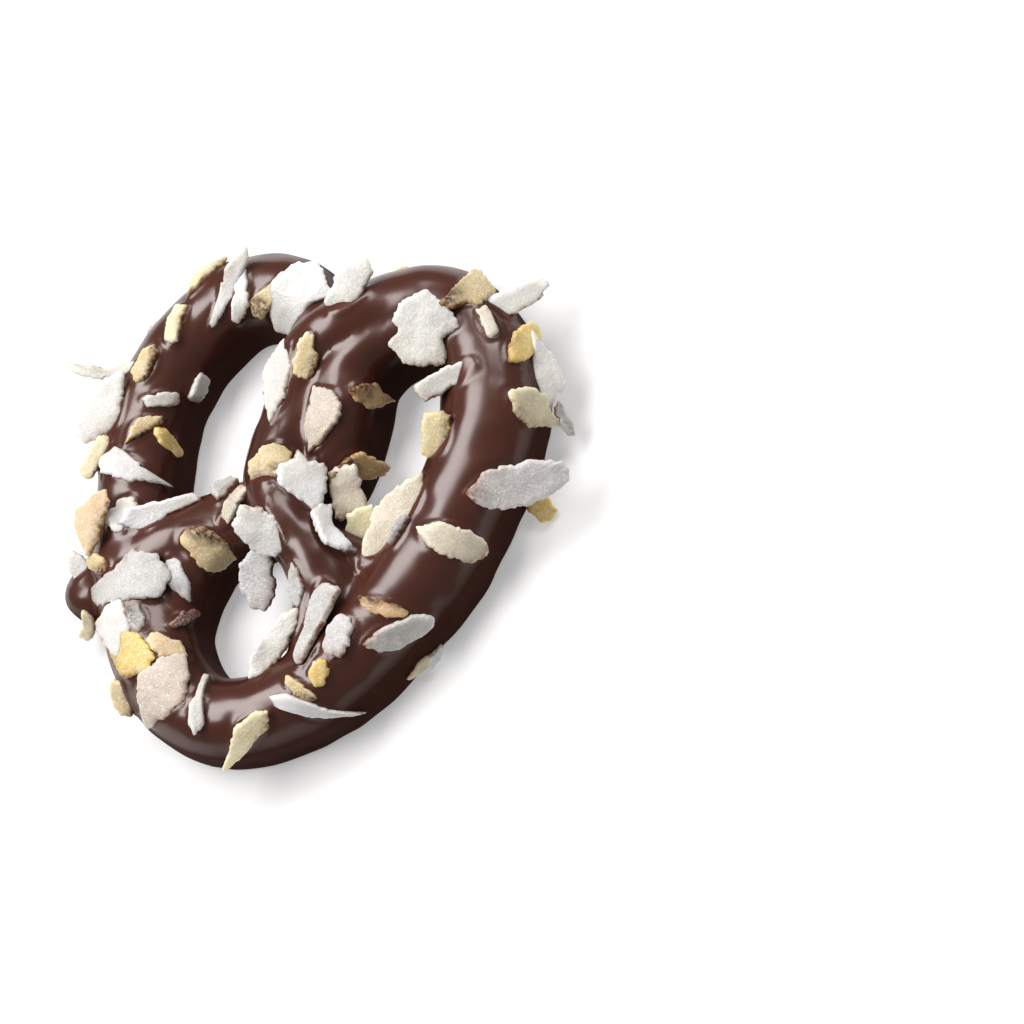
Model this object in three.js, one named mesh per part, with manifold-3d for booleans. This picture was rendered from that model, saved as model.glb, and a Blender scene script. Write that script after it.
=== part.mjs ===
import * as THREE from 'three';
import { mergeVertices } from 'three/addons/utils/BufferGeometryUtils.js';
import Module from 'manifold-3d';

// A knotted mini pretzel covered all over in dark chocolate, with dried fruit flakes set in the coat.
// Millimetres, +Z up. The pretzel lies flat on its foot at z = 0, with the bow at -Y and the lobes at +Y.

const wasm = await Module();
wasm.setup();

// ------------------------------------------------------------------ driving dimensions

// Course of the rope, drawn from the left end through the knot, round the left lobe, the bow and the
// right lobe, and through the knot again to the right end: x, y, width, height of the crown.
const COURSE = [
  [-18.2, -12.3, 6.4, 5.8],  // left end, sticks out past the bow
  [-13.2, -8.4, 7.4, 7.9],
  [-8.2, -5.2, 7.9, 7.6],
  [-3.4, -1.9, 7.5, 6.6],    // under the right arm
  [1.0, 1.3, 6.8, 6.6],
  [2.2, 5.0, 6.9, 7.9],
  [2.1, 9.6, 7.0, 8.3],
  [1.2, 13.7, 7.0, 8.0],
  [-2.0, 17.4, 7.2, 7.2],    // under the right arm again
  [-6.2, 19.8, 8.2, 7.6],
  [-10.0, 19.7, 8.4, 7.8],   // top of the left lobe
  [-13.3, 17.6, 8.2, 7.9],
  [-16.2, 13.3, 8.2, 7.9],
  [-17.6, 8.5, 8.3, 7.9],
  [-17.8, 4.0, 8.3, 7.9],
  [-17.2, 0.0, 8.4, 7.9],
  [-16.3, -4.2, 8.5, 7.9],
  [-14.6, -9.2, 9.0, 7.9],
  [-11.3, -15.0, 9.4, 8.0],
  [-7.9, -19.7, 8.8, 8.1],
  [-3.6, -22.0, 8.3, 8.1],
  [0.2, -21.8, 8.0, 8.1],    // bottom of the bow
  [3.6, -20.2, 8.0, 8.1],
  [6.8, -17.5, 8.7, 8.1],
  [9.6, -13.6, 9.3, 8.2],
  [12.1, -9.1, 9.3, 8.2],
  [14.4, -4.2, 9.8, 8.2],
  [15.6, 1.0, 9.8, 8.2],
  [16.4, 6.4, 9.9, 8.2],
  [16.4, 11.0, 10.1, 8.2],
  [15.0, 15.2, 9.7, 8.2],
  [12.2, 18.7, 9.4, 8.2],
  [8.4, 20.3, 9.1, 8.2],     // top of the right lobe
  [4.6, 19.2, 8.5, 8.6],
  [0.8, 16.9, 7.7, 9.4],     // over the left arm
  [-2.1, 13.8, 7.2, 9.0],
  [-2.5, 9.8, 6.8, 8.5],
  [-2.4, 5.6, 6.8, 8.6],
  [-2.2, 1.6, 6.8, 9.2],
  [-0.3, -2.2, 6.6, 10.2],   // over the left arm again
  [3.0, -5.1, 6.6, 9.6],
  [6.2, -8.4, 7.2, 8.6],
  [9.2, -11.8, 7.0, 7.2],    // right end, runs into the bow
];
// Pools where the coat ran together between neighbouring strands: x, y, width, height.
const POOLS = [
  [
    [6.2, 16.9, 5.0, 8.0], [3.6, 15.3, 6.4, 8.4], [1.6, 12.4, 6.6, 8.3], [0.2, 8.8, 5.6, 8.0],
    [-0.2, 5.2, 5.0, 7.8],
  ],
  [[5.4, -4.6, 4.8, 7.4], [8.2, -5.4, 4.8, 7.0], [10.8, -6.2, 4.8, 7.2]],
  [[-8.6, -8.2, 5.8, 7.2], [-9.4, -11.2, 6.2, 6.8], [-9.4, -14.6, 6.2, 6.8]],
  [[5.2, -8.4, 5.2, 8.0], [5.6, -11.6, 5.8, 7.8], [6.2, -14.8, 5.6, 7.8]],
];
const LEFT_LOBE = 10;        // places on the course where it is cut into three lengths
const RIGHT_LOBE = 32;
const OVERLAP = 0.42;
const RINGS_PER_STEP = 2;

const WALL = 0.34;           // share of the height that stands upright
const SHOULDER = 2.15;       // 2 is an ellipse, more is squarer
const TUCK = 0.38;           // how far the foot is tucked in under the rope
const TUCK_HEIGHT = 0.8;

const CENTRE = [0.3, -1.28]; // middle of the whole part, moved to the origin

// Flakes are placed as they look from one point in front of and above the pretzel.
const EYE = new THREE.Vector3(113.3, -65.4, 238.0);
const BACK = new THREE.Vector3(0.3545, -0.2585, 0.8986);
const RIGHT = new THREE.Vector3(0.9231, 0.25, -0.2922);
const UP = new THREE.Vector3(-0.1491, 0.9331, 0.3272);
const PLANE = 4.0;           // height of the plane on which the flakes' places are given
const NUDGE = [0.1, -0.4];   // moves all those places, to the right and up in the view

// Plans of a flake: points round it, anticlockwise from the head, in a square from -1 to 1.
const PLANS = {
  oval: [
    [1, 0], [0.75, 0.65], [0, 1], [-0.75, 0.65], [-1, 0], [-0.75, -0.65], [0, -1], [0.75, -0.65],
  ],
  block: [
    [1, -0.1], [0.9, 0.85], [0, 0.95], [-0.95, 0.8], [-1, 0], [-0.9, -0.85], [0, -0.9], [0.95, -0.9],
  ],
  slab: [
    [0.95, -0.1], [0.85, 0.6], [0.3, 0.95], [-0.55, 0.85], [-1, 0.1], [-0.7, -0.7], [-0.2, -1],
    [0.6, -0.75],
  ],
  lens: [
    [1, 0], [0.6, 0.6], [0, 0.95], [-0.55, 0.6], [-1, 0], [-0.6, -0.6], [0.1, -1], [0.65, -0.65],
  ],
  hull: [
    [1, 0.3], [0.5, 0.85], [-0.4, 0.75], [-1, 0.7], [-0.8, -0.3], [-0.4, -0.85], [0.3, -1],
    [0.9, -0.4],
  ],
  hump: [
    [1, -0.3], [0.6, 0.35], [0.15, 1], [-0.35, 0.8], [-0.65, 0.15], [-1, -0.5], [-0.3, -0.9],
    [0.75, -0.85],
  ],
  fan: [
    [1, -0.2], [0.75, 0.6], [0.3, 1], [-0.25, 0.45], [-1, 0.2], [-0.95, -0.45], [0, -0.85], [0.75, -1],
  ],
  thorn: [
    [1, -0.1], [0.1, 0.3], [-0.3, 0.7], [-0.75, 0.95], [-1, 0.1], [-0.85, -0.85], [-0.2, -0.9],
    [0.4, -0.45],
  ],
  paddle: [
    [1, 0.25], [0.35, 0.3], [-0.25, 0.95], [-0.7, 0.75], [-1, 0.1], [-0.65, -0.95], [0.1, -0.4],
    [0.9, -0.35],
  ],
  kite: [
    [1, 0.15], [0.35, 0.45], [0.05, 1], [-0.5, 0.75], [-0.95, 0], [-0.6, -0.7], [0, -1], [0.45, -0.4],
  ],
  pennant: [
    [1, -0.1], [0.4, 0.65], [-0.3, 0.8], [-0.9, 0.75], [-1, 0.1], [-0.6, -0.5], [-0.2, -0.85],
    [0.5, -0.5],
  ],
  star: [
    [1, 0], [0.5, 0.6], [0, 1], [-0.4, 0.65], [-0.9, 0.6], [-0.75, -0.3], [-0.3, -1], [0.65, -0.5],
  ],
  cloud: [
    [1, 0], [0.65, 0.7], [0.15, 0.95], [-0.1, 0.65], [-0.45, 1], [-0.95, 0.35], [-0.85, -0.75],
    [-0.2, -0.6], [0.1, -1], [0.65, -0.6],
  ],
  crown: [
    [1, 0.1], [0.8, 0.65], [0.2, 0.95], [-0.5, 0.8], [-0.9, 0.2], [-0.8, -0.55], [0.25, -0.6],
    [0.6, -1],
  ],
  shell: [
    [0.95, 0.5], [0.3, 1], [-0.5, 0.8], [-0.95, 0.2], [-0.55, -0.45], [-0.1, -0.75], [0.4, -1],
    [0.85, -0.4],
  ],
  spear: [
    [1, -0.3], [0.75, 0.4], [0.2, 0.9], [-0.3, 0.55], [-1, 0.1], [-0.5, -0.4], [0.1, -0.6],
    [0.55, -0.9],
  ],
  step: [
    [1, 0.3], [0.5, 0.9], [-0.9, 0.85], [-1, 0], [-0.9, -0.95], [0.1, -0.95], [0.45, -0.45],
    [0.95, -0.25],
  ],
  wing: [
    [0.95, 0.7], [-0.4, 0.9], [-1, 0.5], [-0.85, 0], [-0.35, -0.5], [0.1, -1], [0.5, -0.7],
    [0.8, -0.3],
  ],
  saddle: [
    [0.9, 0.3], [0.95, 0.95], [0.1, 0.55], [-0.75, 0.9], [-0.9, 0], [-0.6, -0.75], [0, -0.85],
    [0.6, -0.7],
  ],
  blade: [
    [1, -0.6], [0.7, 0.1], [0.5, 0.9], [-0.4, 0.6], [-1, 0.1], [-0.4, -0.3], [0.1, -0.8], [0.6, -0.95],
  ],
  sheet: [
    [0.95, 0.6], [-0.1, 0.7], [-0.95, 0.8], [-0.9, 0.2], [-0.4, -0.15], [-0.25, -0.75], [0.45, -0.9],
    [0.7, -0.2],
  ],
  chip: [
    [0.95, 0.3], [0.4, 0.9], [-0.5, 0.9], [-0.95, 0.3], [-0.85, -0.55], [-0.2, -0.8], [0.35, -1],
    [0.85, -0.6],
  ],
  wedge: [
    [0.95, 0.6], [0.6, 0.9], [0.1, 0.6], [-0.9, 0.25], [-1, -0.2], [-0.9, -0.6], [-0.1, -0.6],
    [0.9, -0.95],
  ],
  shard: [
    [1, -0.35], [0.8, 0.25], [0.4, 0.65], [-0.15, 1], [-0.55, 0.5], [-1, 0.4], [-0.85, -0.05],
    [-0.85, -0.6], [-0.5, -1], [0.2, -0.75],
  ],
};

// Flakes that can be seen: x, y, length, width, heading in degrees, plan, sideways bow, lift of the
// head in degrees or 'clear' for one that stands free of the rope, rise off the rope.
const FLAKES = [
  [-16.9, 20.9, 5.4, 1.5, 43, 'hump', 0, 0, 0],
  [-14.1, 20.4, 8.9, 1.9, 66, 'fan', 0, 8, 0],
  [-12.4, 19.6, 5.6, 2.2, 85, 'pennant', 0, 0, 0],
  [-9.5, 20.3, 6.0, 2.5, 52, 'thorn', 0, 0, 0],
  [-6.7, 19.7, 8.2, 5.9, 60, 'crown', 0, 4, 0],
  [-18.4, 15.8, 4.1, 1.6, 70, 'block', -0.04, 0, 0],
  [-20.2, 11.1, 4.5, 2.0, 63, 'slab', 0, 0, 0],
  [-14.1, 9.6, 3.0, 1.5, 62, 'block', 0, 0, 0],
  [-17.5, 7.8, 3.5, 1.4, 5, 'block', 0, 0, 0],
  [-24.7, 10.0, 7.8, 1.2, 1, 'block', 0.13, 0, 0],
  [-22.9, 6.2, 8.2, 5.0, 66, 'pennant', 0, 0, 0.9],
  [-18.7, 4.7, 4.7, 1.8, 34, 'hump', 0, 0, 0],
  [-15.5, 3.7, 3.9, 1.5, -46, 'slab', 0, 0, 0],
  [-22.6, 1.1, 4.6, 1.9, 60, 'block', 0, 0, 0],
  [-18.0, 0.5, 7.8, 3.3, -20, 'thorn', 0, 0, 0],
  [-20.0, -5.2, 7.0, 3.6, 72, 'hump', 0, 0, 0.9],
  [-17.9, -4.2, 4.0, 2.6, 60, 'oval', 0, 0, 0],
  [-13.9, -3.2, 8.1, 2.7, 200, 'fan', 0, 'clear', 1.6],
  [-8.3, -0.2, 3.0, 2.3, 55, 'hump', 0, 0, 0.1],
  [-6.3, -1.2, 4.7, 1.3, 61, 'block', -0.06, 0, 0.5],
  [-3.1, -3.3, 6.2, 4.0, -52, 'slab', 0, 'clear', 1.0],
  [-8.1, -6.0, 6.0, 3.9, -32, 'chip', 0, 0, 0],
  [-2.6, -7.9, 7.0, 4.0, -87, 'hull', 0, 'clear', -1.0],
  [-20.7, -10.0, 4.1, 2.1, -70, 'slab', 0, 0, 0.5],
  [-18.7, -9.4, 2.7, 2.0, -18, 'chip', 0, 0, 0],
  [-15.6, -10.4, 8.7, 5.2, 18, 'fan', 0, 0, 0],
  [-10.2, -9.5, 4.9, 2.5, -60, 'pennant', 0, 0, 0],
  [-15.0, -15.2, 6.0, 4.0, -82, 'star', 0, 0, 0],
  [-13.3, -13.8, 2.8, 2.1, -58, 'chip', 0, 0, 0],
  [-17.8, -15.1, 3.0, 2.0, 72, 'saddle', 0, 0, 0.4],
  [-13.1, -17.3, 5.6, 4.3, -35, 'shell', 0, 0, 0],
  [-9.1, -16.2, 4.5, 2.6, -18, 'pennant', 0, 0, 0],
  [-8.6, -20.1, 8.1, 5.5, 62, 'lens', 0, 0, 0],
  [-12.3, -21.6, 3.9, 2.4, -62, 'oval', 0, 0, 0],
  [-4.4, -20.5, 5.8, 1.8, 79, 'paddle', 0, 0, 0],
  [1.1, -23.1, 7.9, 3.1, 57, 'spear', 0, 0, 0],
  [-8.5, -13.2, 3.0, 1.1, 28, 'block', 0, 0, 0],
  [1.2, -13.9, 8.3, 2.7, 56, 'oval', 0, 0, 0],
  [2.0, -7.9, 4.7, 1.7, -82, 'lens', 0, 0, 0],
  [5.4, -11.5, 8.4, 2.6, 63, 'wedge', 0, 3, 0.8],
  [7.5, -12.2, 4.6, 2.8, 79, 'chip', 0, 0, 0],
  [10.9, -8.7, 4.9, 1.7, -14, 'hull', 0, 0, 0],
  [13.3, -10.7, 7.4, 2.6, 20, 'slab', 0, 0, 0],
  [6.6, -15.8, 2.8, 1.9, 85, 'oval', 0, 0, 0],
  [5.1, -17.7, 3.7, 1.5, -34, 'hull', 0, 0, 0],
  [7.7, -19.1, 9.1, 1.7, -8, 'thorn', 0, 0, 0],
  [15.7, -13.5, 2.9, 1.3, 50, 'spear', 0, 0, 0],
  [16.9, -12.3, 2.7, 1.4, 55, 'oval', 0, 0, 0],
  [-6.0, 11.4, 8.2, 3.5, -97, 'pennant', 0, 0, 0],
  [-3.8, 14.4, 4.5, 2.5, 78, 'step', 0, 0, 0],
  [-0.2, 8.5, 6.4, 3.9, 82, 'wing', 0, 0, 0],
  [-1.2, 21.8, 6.5, 3.6, 57, 'oval', 0, 'clear', 0.9],
  [3.9, 11.3, 4.8, 2.5, -15, 'kite', 0, 0, 0],
  [-4.3, 3.2, 4.9, 3.5, 38, 'slab', 0, 0, 0],
  [-0.4, 1.8, 6.1, 5.0, -58, 'shard', 0, 'clear', 1.6],
  [4.4, 4.3, 6.0, 2.9, 8, 'hump', 0, 0, 0.2],
  [4.1, 1.5, 5.2, 3.5, -78, 'block', 0, 'clear', 2.0],
  [3.2, -2.6, 5.5, 2.5, -65, 'saddle', 0.1, 0, 0.8],
  [6.5, -1.3, 4.8, 3.2, 58, 'lens', 0, 0, 0.5],
  [9.9, -0.4, 10.8, 4.0, 57, 'lens', 0, 'clear', 1.3],
  [10.5, -1.4, 3.2, 0.9, 60, 'block', 0, 0, 0],
  [7.6, 18.7, 7.8, 6.9, 85, 'cloud', 0, 'clear', 1.4],
  [10.9, 22.9, 5.2, 4.3, 52, 'sheet', 0, 8, 0],
  [15.4, 22.4, 8.3, 2.9, 25, 'slab', 0, 'clear', 2.8],
  [13.5, 20.3, 3.2, 1.5, -65, 'block', 0, 0, 0],
  [11.1, 13.9, 6.2, 2.3, 26, 'block', 0, 'clear', 0.8],
  [11.6, 8.6, 4.4, 3.0, 86, 'block', 0, 'clear', 0.8],
  [17.5, 18.6, 4.9, 2.8, 55, 'slab', 0, 0, 0],
  [20.0, 16.0, 8.0, 4.0, -70, 'blade', 0, 'clear', 1.0],
  [20.2, 12.3, 6.4, 3.8, -34, 'kite', 0, 0, 0],
  [22.8, 11.6, 3.7, 1.3, -62, 'hull', 0, 'clear', 2.3],
  [20.7, 5.3, 10.4, 4.4, 12, 'slab', 0, 'clear', 2.8],
  [23.4, 3.1, 3.3, 2.6, -28, 'chip', 0, 0, 0.5],
  [16.1, -1.4, 7.1, 3.3, -19, 'slab', 0, 0, 0],
];

// Flakes on the far flanks, scattered by a seeded draw.
const FAR_FLAKES = 6;
const FAR_SEED = 20;
const FAR_SPACING = 4.2;
const FAR_PLANS = ['slab', 'chip', 'lens', 'block'];

const THICKNESS = 0.85;
const PROUD = 0.28;          // how far a flake's middle plane stands out of the coat
const FACING = 0.4;          // how much a flake on a steep side leans to the viewer
const DRAPE = 0.75;          // how closely a long flake follows the rope

const MERGE = 0.08;          // edges shorter than this are closed up after the joining

const CHOCOLATE = '#48291f';

// ------------------------------------------------------------------ the rope

// A smooth course through rows of x, y, width and height, read at a place counted in rows.
function follow(course) {
  const curve = (a, b) => new THREE.CatmullRomCurve3(
    course.map((row) => new THREE.Vector3(row[a], row[b], 0)), false, 'catmullrom', 0.5);
  const [route, girth] = [curve(0, 1), curve(2, 3)];
  const last = course.length - 1;
  return (place) => {
    const t = THREE.MathUtils.clamp(place / last, 1e-4, 1 - 1e-4);
    const ahead = route.getPoint(t + 1e-4).sub(route.getPoint(t - 1e-4)).normalize();
    const { x: width, y: crown } = girth.getPoint(t);
    const side = new THREE.Vector3(ahead.y, -ahead.x, 0);
    return { centre: route.getPoint(t), ahead, side, width, crown };
  };
}

// Half section: distance from the middle and height, from below the foot up to just below the crown.
// It is TUCK narrower at z = 0, where the foot is cut flat afterwards.
function halfSection(width, crown) {
  const half = width / 2;
  const wall = WALL * crown;
  const points = [[half - 2 * TUCK, -TUCK_HEIGHT], [half, TUCK_HEIGHT]];
  for (const degrees of [0, 24, 44, 64]) {
    const a = THREE.MathUtils.degToRad(degrees);
    points.push([
      half * Math.cos(a) ** (2 / SHOULDER),
      wall + (crown - wall) * Math.sin(a) ** (2 / SHOULDER),
    ]);
  }
  return points;
}

// Ring of points round a strand at a spot on its course.
// shrink below 1 draws the ring in, and beyond moves it along the strand, for a rounded end.
function ring({ centre, ahead, side, width, crown }, shrink = 1, beyond = 0) {
  const wall = WALL * crown;
  const top = wall + (crown - wall) * (0.35 + 0.65 * shrink);
  const half = halfSection(width * shrink, top);
  const outline = [...half, [0, top], ...half.toReversed().map(([out, z]) => [-out, z])];
  return outline.map(([out, z]) => [
    centre.x + side.x * out + ahead.x * beyond, centre.y + side.y * out + ahead.y * beyond, z]);
}

// Closed skin through a list of rings of the same number of points.
function loft(rings) {
  const n = rings[0].length;
  const vertices = rings.flat();
  const triangles = [];
  for (let i = 0; i < rings.length - 1; i++) {
    for (let j = 0; j < n; j++) {
      const a = i * n + j;
      const b = i * n + (j + 1) % n;
      triangles.push([a, a + n, b], [b, a + n, b + n]);
    }
  }
  const end = (rings.length - 1) * n;
  for (let j = 1; j < n - 1; j++) {
    triangles.push([0, j, j + 1], [end, end + j + 1, end + j]);
  }
  return { vertices, triangles };
}

const ROUNDING = [0.98, 0.8, 0.45];

// Rings that close a strand with a rounded end, from the tip inwards.
function roundEnd(spot, sign) {
  return ROUNDING.map((u) => ring(spot, Math.sqrt(1 - u * u), sign * u * spot.width / 2));
}

// One length of the rope. Where the bow meets a lobe it starts a little inside the neighbouring arm,
// which runs on over it.
function ropeLength(from, to, inside = 1) {
  const steps = Math.round((to - from) * RINGS_PER_STEP);
  const rings = from === 0 ? roundEnd(rope(0), -1) : [];
  for (let i = 0; i <= steps; i++) {
    rings.push(ring(rope(from + (to - from) * i / steps), i === 0 || i === steps ? inside : 1));
  }
  return loft(rings);
}

function pool(course) {
  const spot = follow(course);
  const last = course.length - 1;
  const middle = [];
  for (let i = 0; i <= 2 * last; i++) middle.push(ring(spot(i / 2)));
  return loft([...roundEnd(spot(0), -1), ...middle, ...roundEnd(spot(last), 1).toReversed()]);
}

// ------------------------------------------------------------------ the flakes

function toGeometry({ vertices, triangles }) {
  const geometry = new THREE.BufferGeometry();
  geometry.setAttribute('position', new THREE.Float32BufferAttribute(vertices.flat(), 3));
  geometry.setIndex(triangles.flat());
  return geometry;
}

const rope = follow(COURSE);
const lengths = [
  ropeLength(0, LEFT_LOBE + OVERLAP),
  ropeLength(LEFT_LOBE, RIGHT_LOBE, 0.88),
  ropeLength(RIGHT_LOBE - OVERLAP, COURSE.length - 1),
  ...POOLS.map(pool),
];
const targets = lengths.map((length) => new THREE.Mesh(
  toGeometry(length), new THREE.MeshStandardMaterial({ side: THREE.DoubleSide })));
const caster = new THREE.Raycaster();

// Where the sight line through a point meets the rope.
function sight(point) {
  caster.set(EYE, point.clone().sub(EYE).normalize());
  const hit = caster.intersectObjects(targets, false)[0];
  if (!hit) return null;
  const normal = hit.face.normal.clone();
  if (normal.dot(BACK) < 0) normal.negate();
  return { point: hit.point, normal };
}

// The same, but a sight line that passes beside the rope is moved in until it meets it.
function sightNear(point) {
  let nearest = new THREE.Vector3();
  let best = Infinity;
  COURSE.forEach(([x, y]) => {
    const d = Math.hypot(x - point.x, y - point.y);
    if (d < best) { best = d; nearest = new THREE.Vector3(x, y, point.z); }
  });
  const inward = nearest.sub(point).normalize();
  for (let step = 0; step < 60; step++) {
    const hit = sight(point.clone().addScaledVector(inward, step * 0.2));
    if (hit) return { ...hit, moved: step * 0.2 };
  }
  throw new Error('a flake is too far from the rope');
}

// Where a flake lies: middle, the three axes, half length and width, and sag towards its ends.
function lay([x, y, length, width, heading, , , lift, rise = 0]) {
  const a = THREE.MathUtils.degToRad(heading);
  const e = RIGHT.clone().multiplyScalar(Math.cos(a)).addScaledVector(UP, Math.sin(a));
  const place = new THREE.Vector3(x, y, PLANE)
    .addScaledVector(RIGHT, NUDGE[0]).addScaledVector(UP, NUDGE[1]);
  const { point, normal, moved } = sightNear(place);
  const middle = point.clone();
  let along;
  let out;
  let sag = 0;
  if (moved > 0 || lift === 'clear') {
    const line = place.clone().sub(EYE).normalize();
    middle.copy(EYE).addScaledVector(line, point.clone().sub(EYE).dot(line));
    along = e.clone();
    out = BACK.clone().addScaledVector(normal, 0.3);
  } else {
    const reach = 0.35 * length;
    const fore = sight(point.clone().addScaledVector(e, reach));
    const aft = sight(point.clone().addScaledVector(e, -reach));
    const near = (hit) => hit && hit.point.distanceTo(point) < 1.7 * reach;
    const slope = THREE.MathUtils.clamp(-e.dot(normal) / BACK.dot(normal), -1, 1);
    along = e.clone().addScaledVector(BACK, slope);
    if (near(fore) && near(aft)) {
      along = fore.point.clone().sub(aft.point);
      const drop = point.clone().multiplyScalar(2).sub(fore.point).sub(aft.point).dot(normal) / 2;
      sag = THREE.MathUtils.clamp(drop * 2 * DRAPE, 0, 0.16 * length);
    }
    out = normal.clone().addScaledVector(BACK, FACING);
  }
  along.normalize();
  out.addScaledVector(along, -out.dot(along)).normalize();
  if (Number(lift)) along.applyAxisAngle(out.clone().cross(along), -THREE.MathUtils.degToRad(lift));
  out.addScaledVector(along, -out.dot(along)).normalize();
  const across = out.clone().cross(along);
  const seen = (axis) => Math.max(Math.sqrt(1 - axis.dot(BACK) ** 2), 0.75);
  middle.addScaledVector(out, (moved > 0 ? 0 : PROUD) + rise);
  return {
    middle, along, across, out, sag,
    half: 0.49 * length / seen(along), wide: 0.48 * width / seen(across),
  };
}

// A flake as a thin prism over its plan, with a point in the middle of each face.
function flakeSolid({ middle, along, across, out, half, wide, sag }, plan, bow) {
  const outline = [[0, 0], ...PLANS[plan]];
  const n = outline.length;
  const vertices = [1, -1].flatMap((face) => outline.map(([x, y]) => {
    const h = face * THICKNESS / 2 * (0.8 + 0.2 * Math.sqrt(1 - x * x));
    const p = middle.clone().addScaledVector(along, x * half)
      .addScaledVector(across, y * wide + bow * 2 * half * (x * x - 0.33))
      .addScaledVector(out, h - sag * x * x);
    return [p.x, p.y, p.z];
  }));
  const triangles = [];
  for (let a = 1; a < n; a++) {
    const b = a % (n - 1) + 1;
    triangles.push([0, a, b], [n, n + b, n + a], [n + a, n + b, b], [n + a, b, a]);
  }
  return { vertices, triangles };
}

// ------------------------------------------------------------------ putting it together

// Far flakes: drawn on the flanks that face away from the eye.
function farSpots() {
  let state = FAR_SEED;
  const draw = () => {
    state = (state * 1664525 + 1013904223) % 4294967296;
    return state / 4294967296;
  };
  const spots = [];
  for (let tries = 0; tries < 4000 && spots.length < FAR_FLAKES; tries++) {
    const t = draw();
    const turn = (draw() * 2 - 1) * 86;
    const length = 2.6 + 2.6 * draw() ** 2;
    const heading = (draw() - 0.5) * Math.PI;
    const { centre, ahead, side, width, crown } = rope(t * (COURSE.length - 1));
    const a = turn * Math.PI / 180;
    const outward = side.clone().multiplyScalar(Math.sin(a)).add(new THREE.Vector3(0, 0, Math.cos(a)));
    const wall = WALL * crown;
    const middle = centre.clone().addScaledVector(side, Math.sin(a) * width / 2);
    middle.z = wall + (crown - wall) * Math.cos(a);
    if (outward.dot(BACK) > -0.25 || middle.z < 2.6) continue;
    if (t < 8 / 42 || t > 34 / 42 || (t > 9 / 42 && Math.hypot(middle.x, middle.y) < 19)) continue;
    if (spots.some((other) => other.middle.distanceTo(middle) < FAR_SPACING)) continue;
    const along = ahead.clone().multiplyScalar(Math.cos(heading))
      .addScaledVector(outward.clone().cross(ahead), Math.sin(heading)).normalize();
    middle.addScaledVector(outward, PROUD);
    spots.push({
      middle, along, across: outward.clone().cross(along), out: outward, sag: 0.3,
      half: length / 2, wide: length * 0.26,
    });
  }
  return spots;
}

function toManifold({ vertices, triangles }) {
  return new wasm.Manifold(new wasm.Mesh({
    numProp: 3,
    vertProperties: new Float32Array(vertices.flat()),
    triVerts: new Uint32Array(triangles.flat()),
  }));
}

// Everything below the foot, cut away so that the pretzel rests flat.
function belowFoot() {
  const box = new THREE.BoxGeometry(90, 90, 8).translate(0, 0, -4);
  box.deleteAttribute('normal');
  box.deleteAttribute('uv');
  const { attributes, index } = mergeVertices(box);
  return new wasm.Manifold(new wasm.Mesh({
    numProp: 3,
    vertProperties: new Float32Array(attributes.position.array),
    triVerts: new Uint32Array(index.array),
  }));
}

let solid = lengths.map(toManifold).reduce((whole, length) => whole.add(length));
FLAKES.forEach((flake) => {
  solid = solid.add(toManifold(flakeSolid(lay(flake), flake[5], flake[6])));
});
farSpots().forEach((spot, i) => {
  solid = solid.add(toManifold(flakeSolid(spot, FAR_PLANS[i % FAR_PLANS.length], 0)));
});

solid = solid.subtract(belowFoot());

// Slides vertex b onto vertex a wherever the edge between them is shorter than MERGE, unless that
// would pinch the skin or fold a triangle over.
function closeShortEdges({ vertProperties, triVerts }) {
  const points = [];
  for (let i = 0; i < vertProperties.length; i += 3) {
    points.push(new THREE.Vector3().fromArray(vertProperties, i));
  }
  const faces = [];
  const around = points.map(() => new Set());
  for (let i = 0; i < triVerts.length; i += 3) {
    const face = [...triVerts.subarray(i, i + 3)];
    face.forEach((v) => around[v].add(faces.length));
    faces.push(face);
  }
  const neighbours = (v) => new Set([...around[v]].flatMap((f) => faces[f]).filter((w) => w !== v));
  const normal = ([p, q, r]) => q.clone().sub(p).cross(r.clone().sub(p));
  const slide = (a, b) => {
    if (points[b].z === 0 && points[a].z !== 0) return false;
    const beside = neighbours(b);
    if ([...neighbours(a)].filter((v) => beside.has(v)).length !== 2) return false;
    const kept = [...around[b]].filter((f) => !faces[f].includes(a));
    const folds = kept.some((f) => {
      const before = normal(faces[f].map((v) => points[v]));
      const after = normal(faces[f].map((v) => points[v === b ? a : v]));
      return before.dot(after) < 0.3 * before.length() * after.length();
    });
    if (folds) return false;
    for (const f of [...around[b]]) {
      if (kept.includes(f)) {
        faces[f] = faces[f].map((v) => (v === b ? a : v));
        around[a].add(f);
      } else {
        faces[f].forEach((v) => around[v].delete(f));
        faces[f] = null;
      }
    }
    around[b].clear();
    return true;
  };
  for (let pass = 0, changed = true; changed && pass < 8; pass++) {
    changed = false;
    for (let f = 0; f < faces.length; f++) {
      for (let k = 0; k < 3 && faces[f]; k++) {
        const [a, b] = [faces[f][k], faces[f][(k + 1) % 3]];
        if (points[a].distanceTo(points[b]) < MERGE && (slide(a, b) || slide(b, a))) changed = true;
      }
    }
  }
  return { vertices: points.map((p) => p.toArray()), triangles: faces.filter((face) => face) };
}

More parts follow.
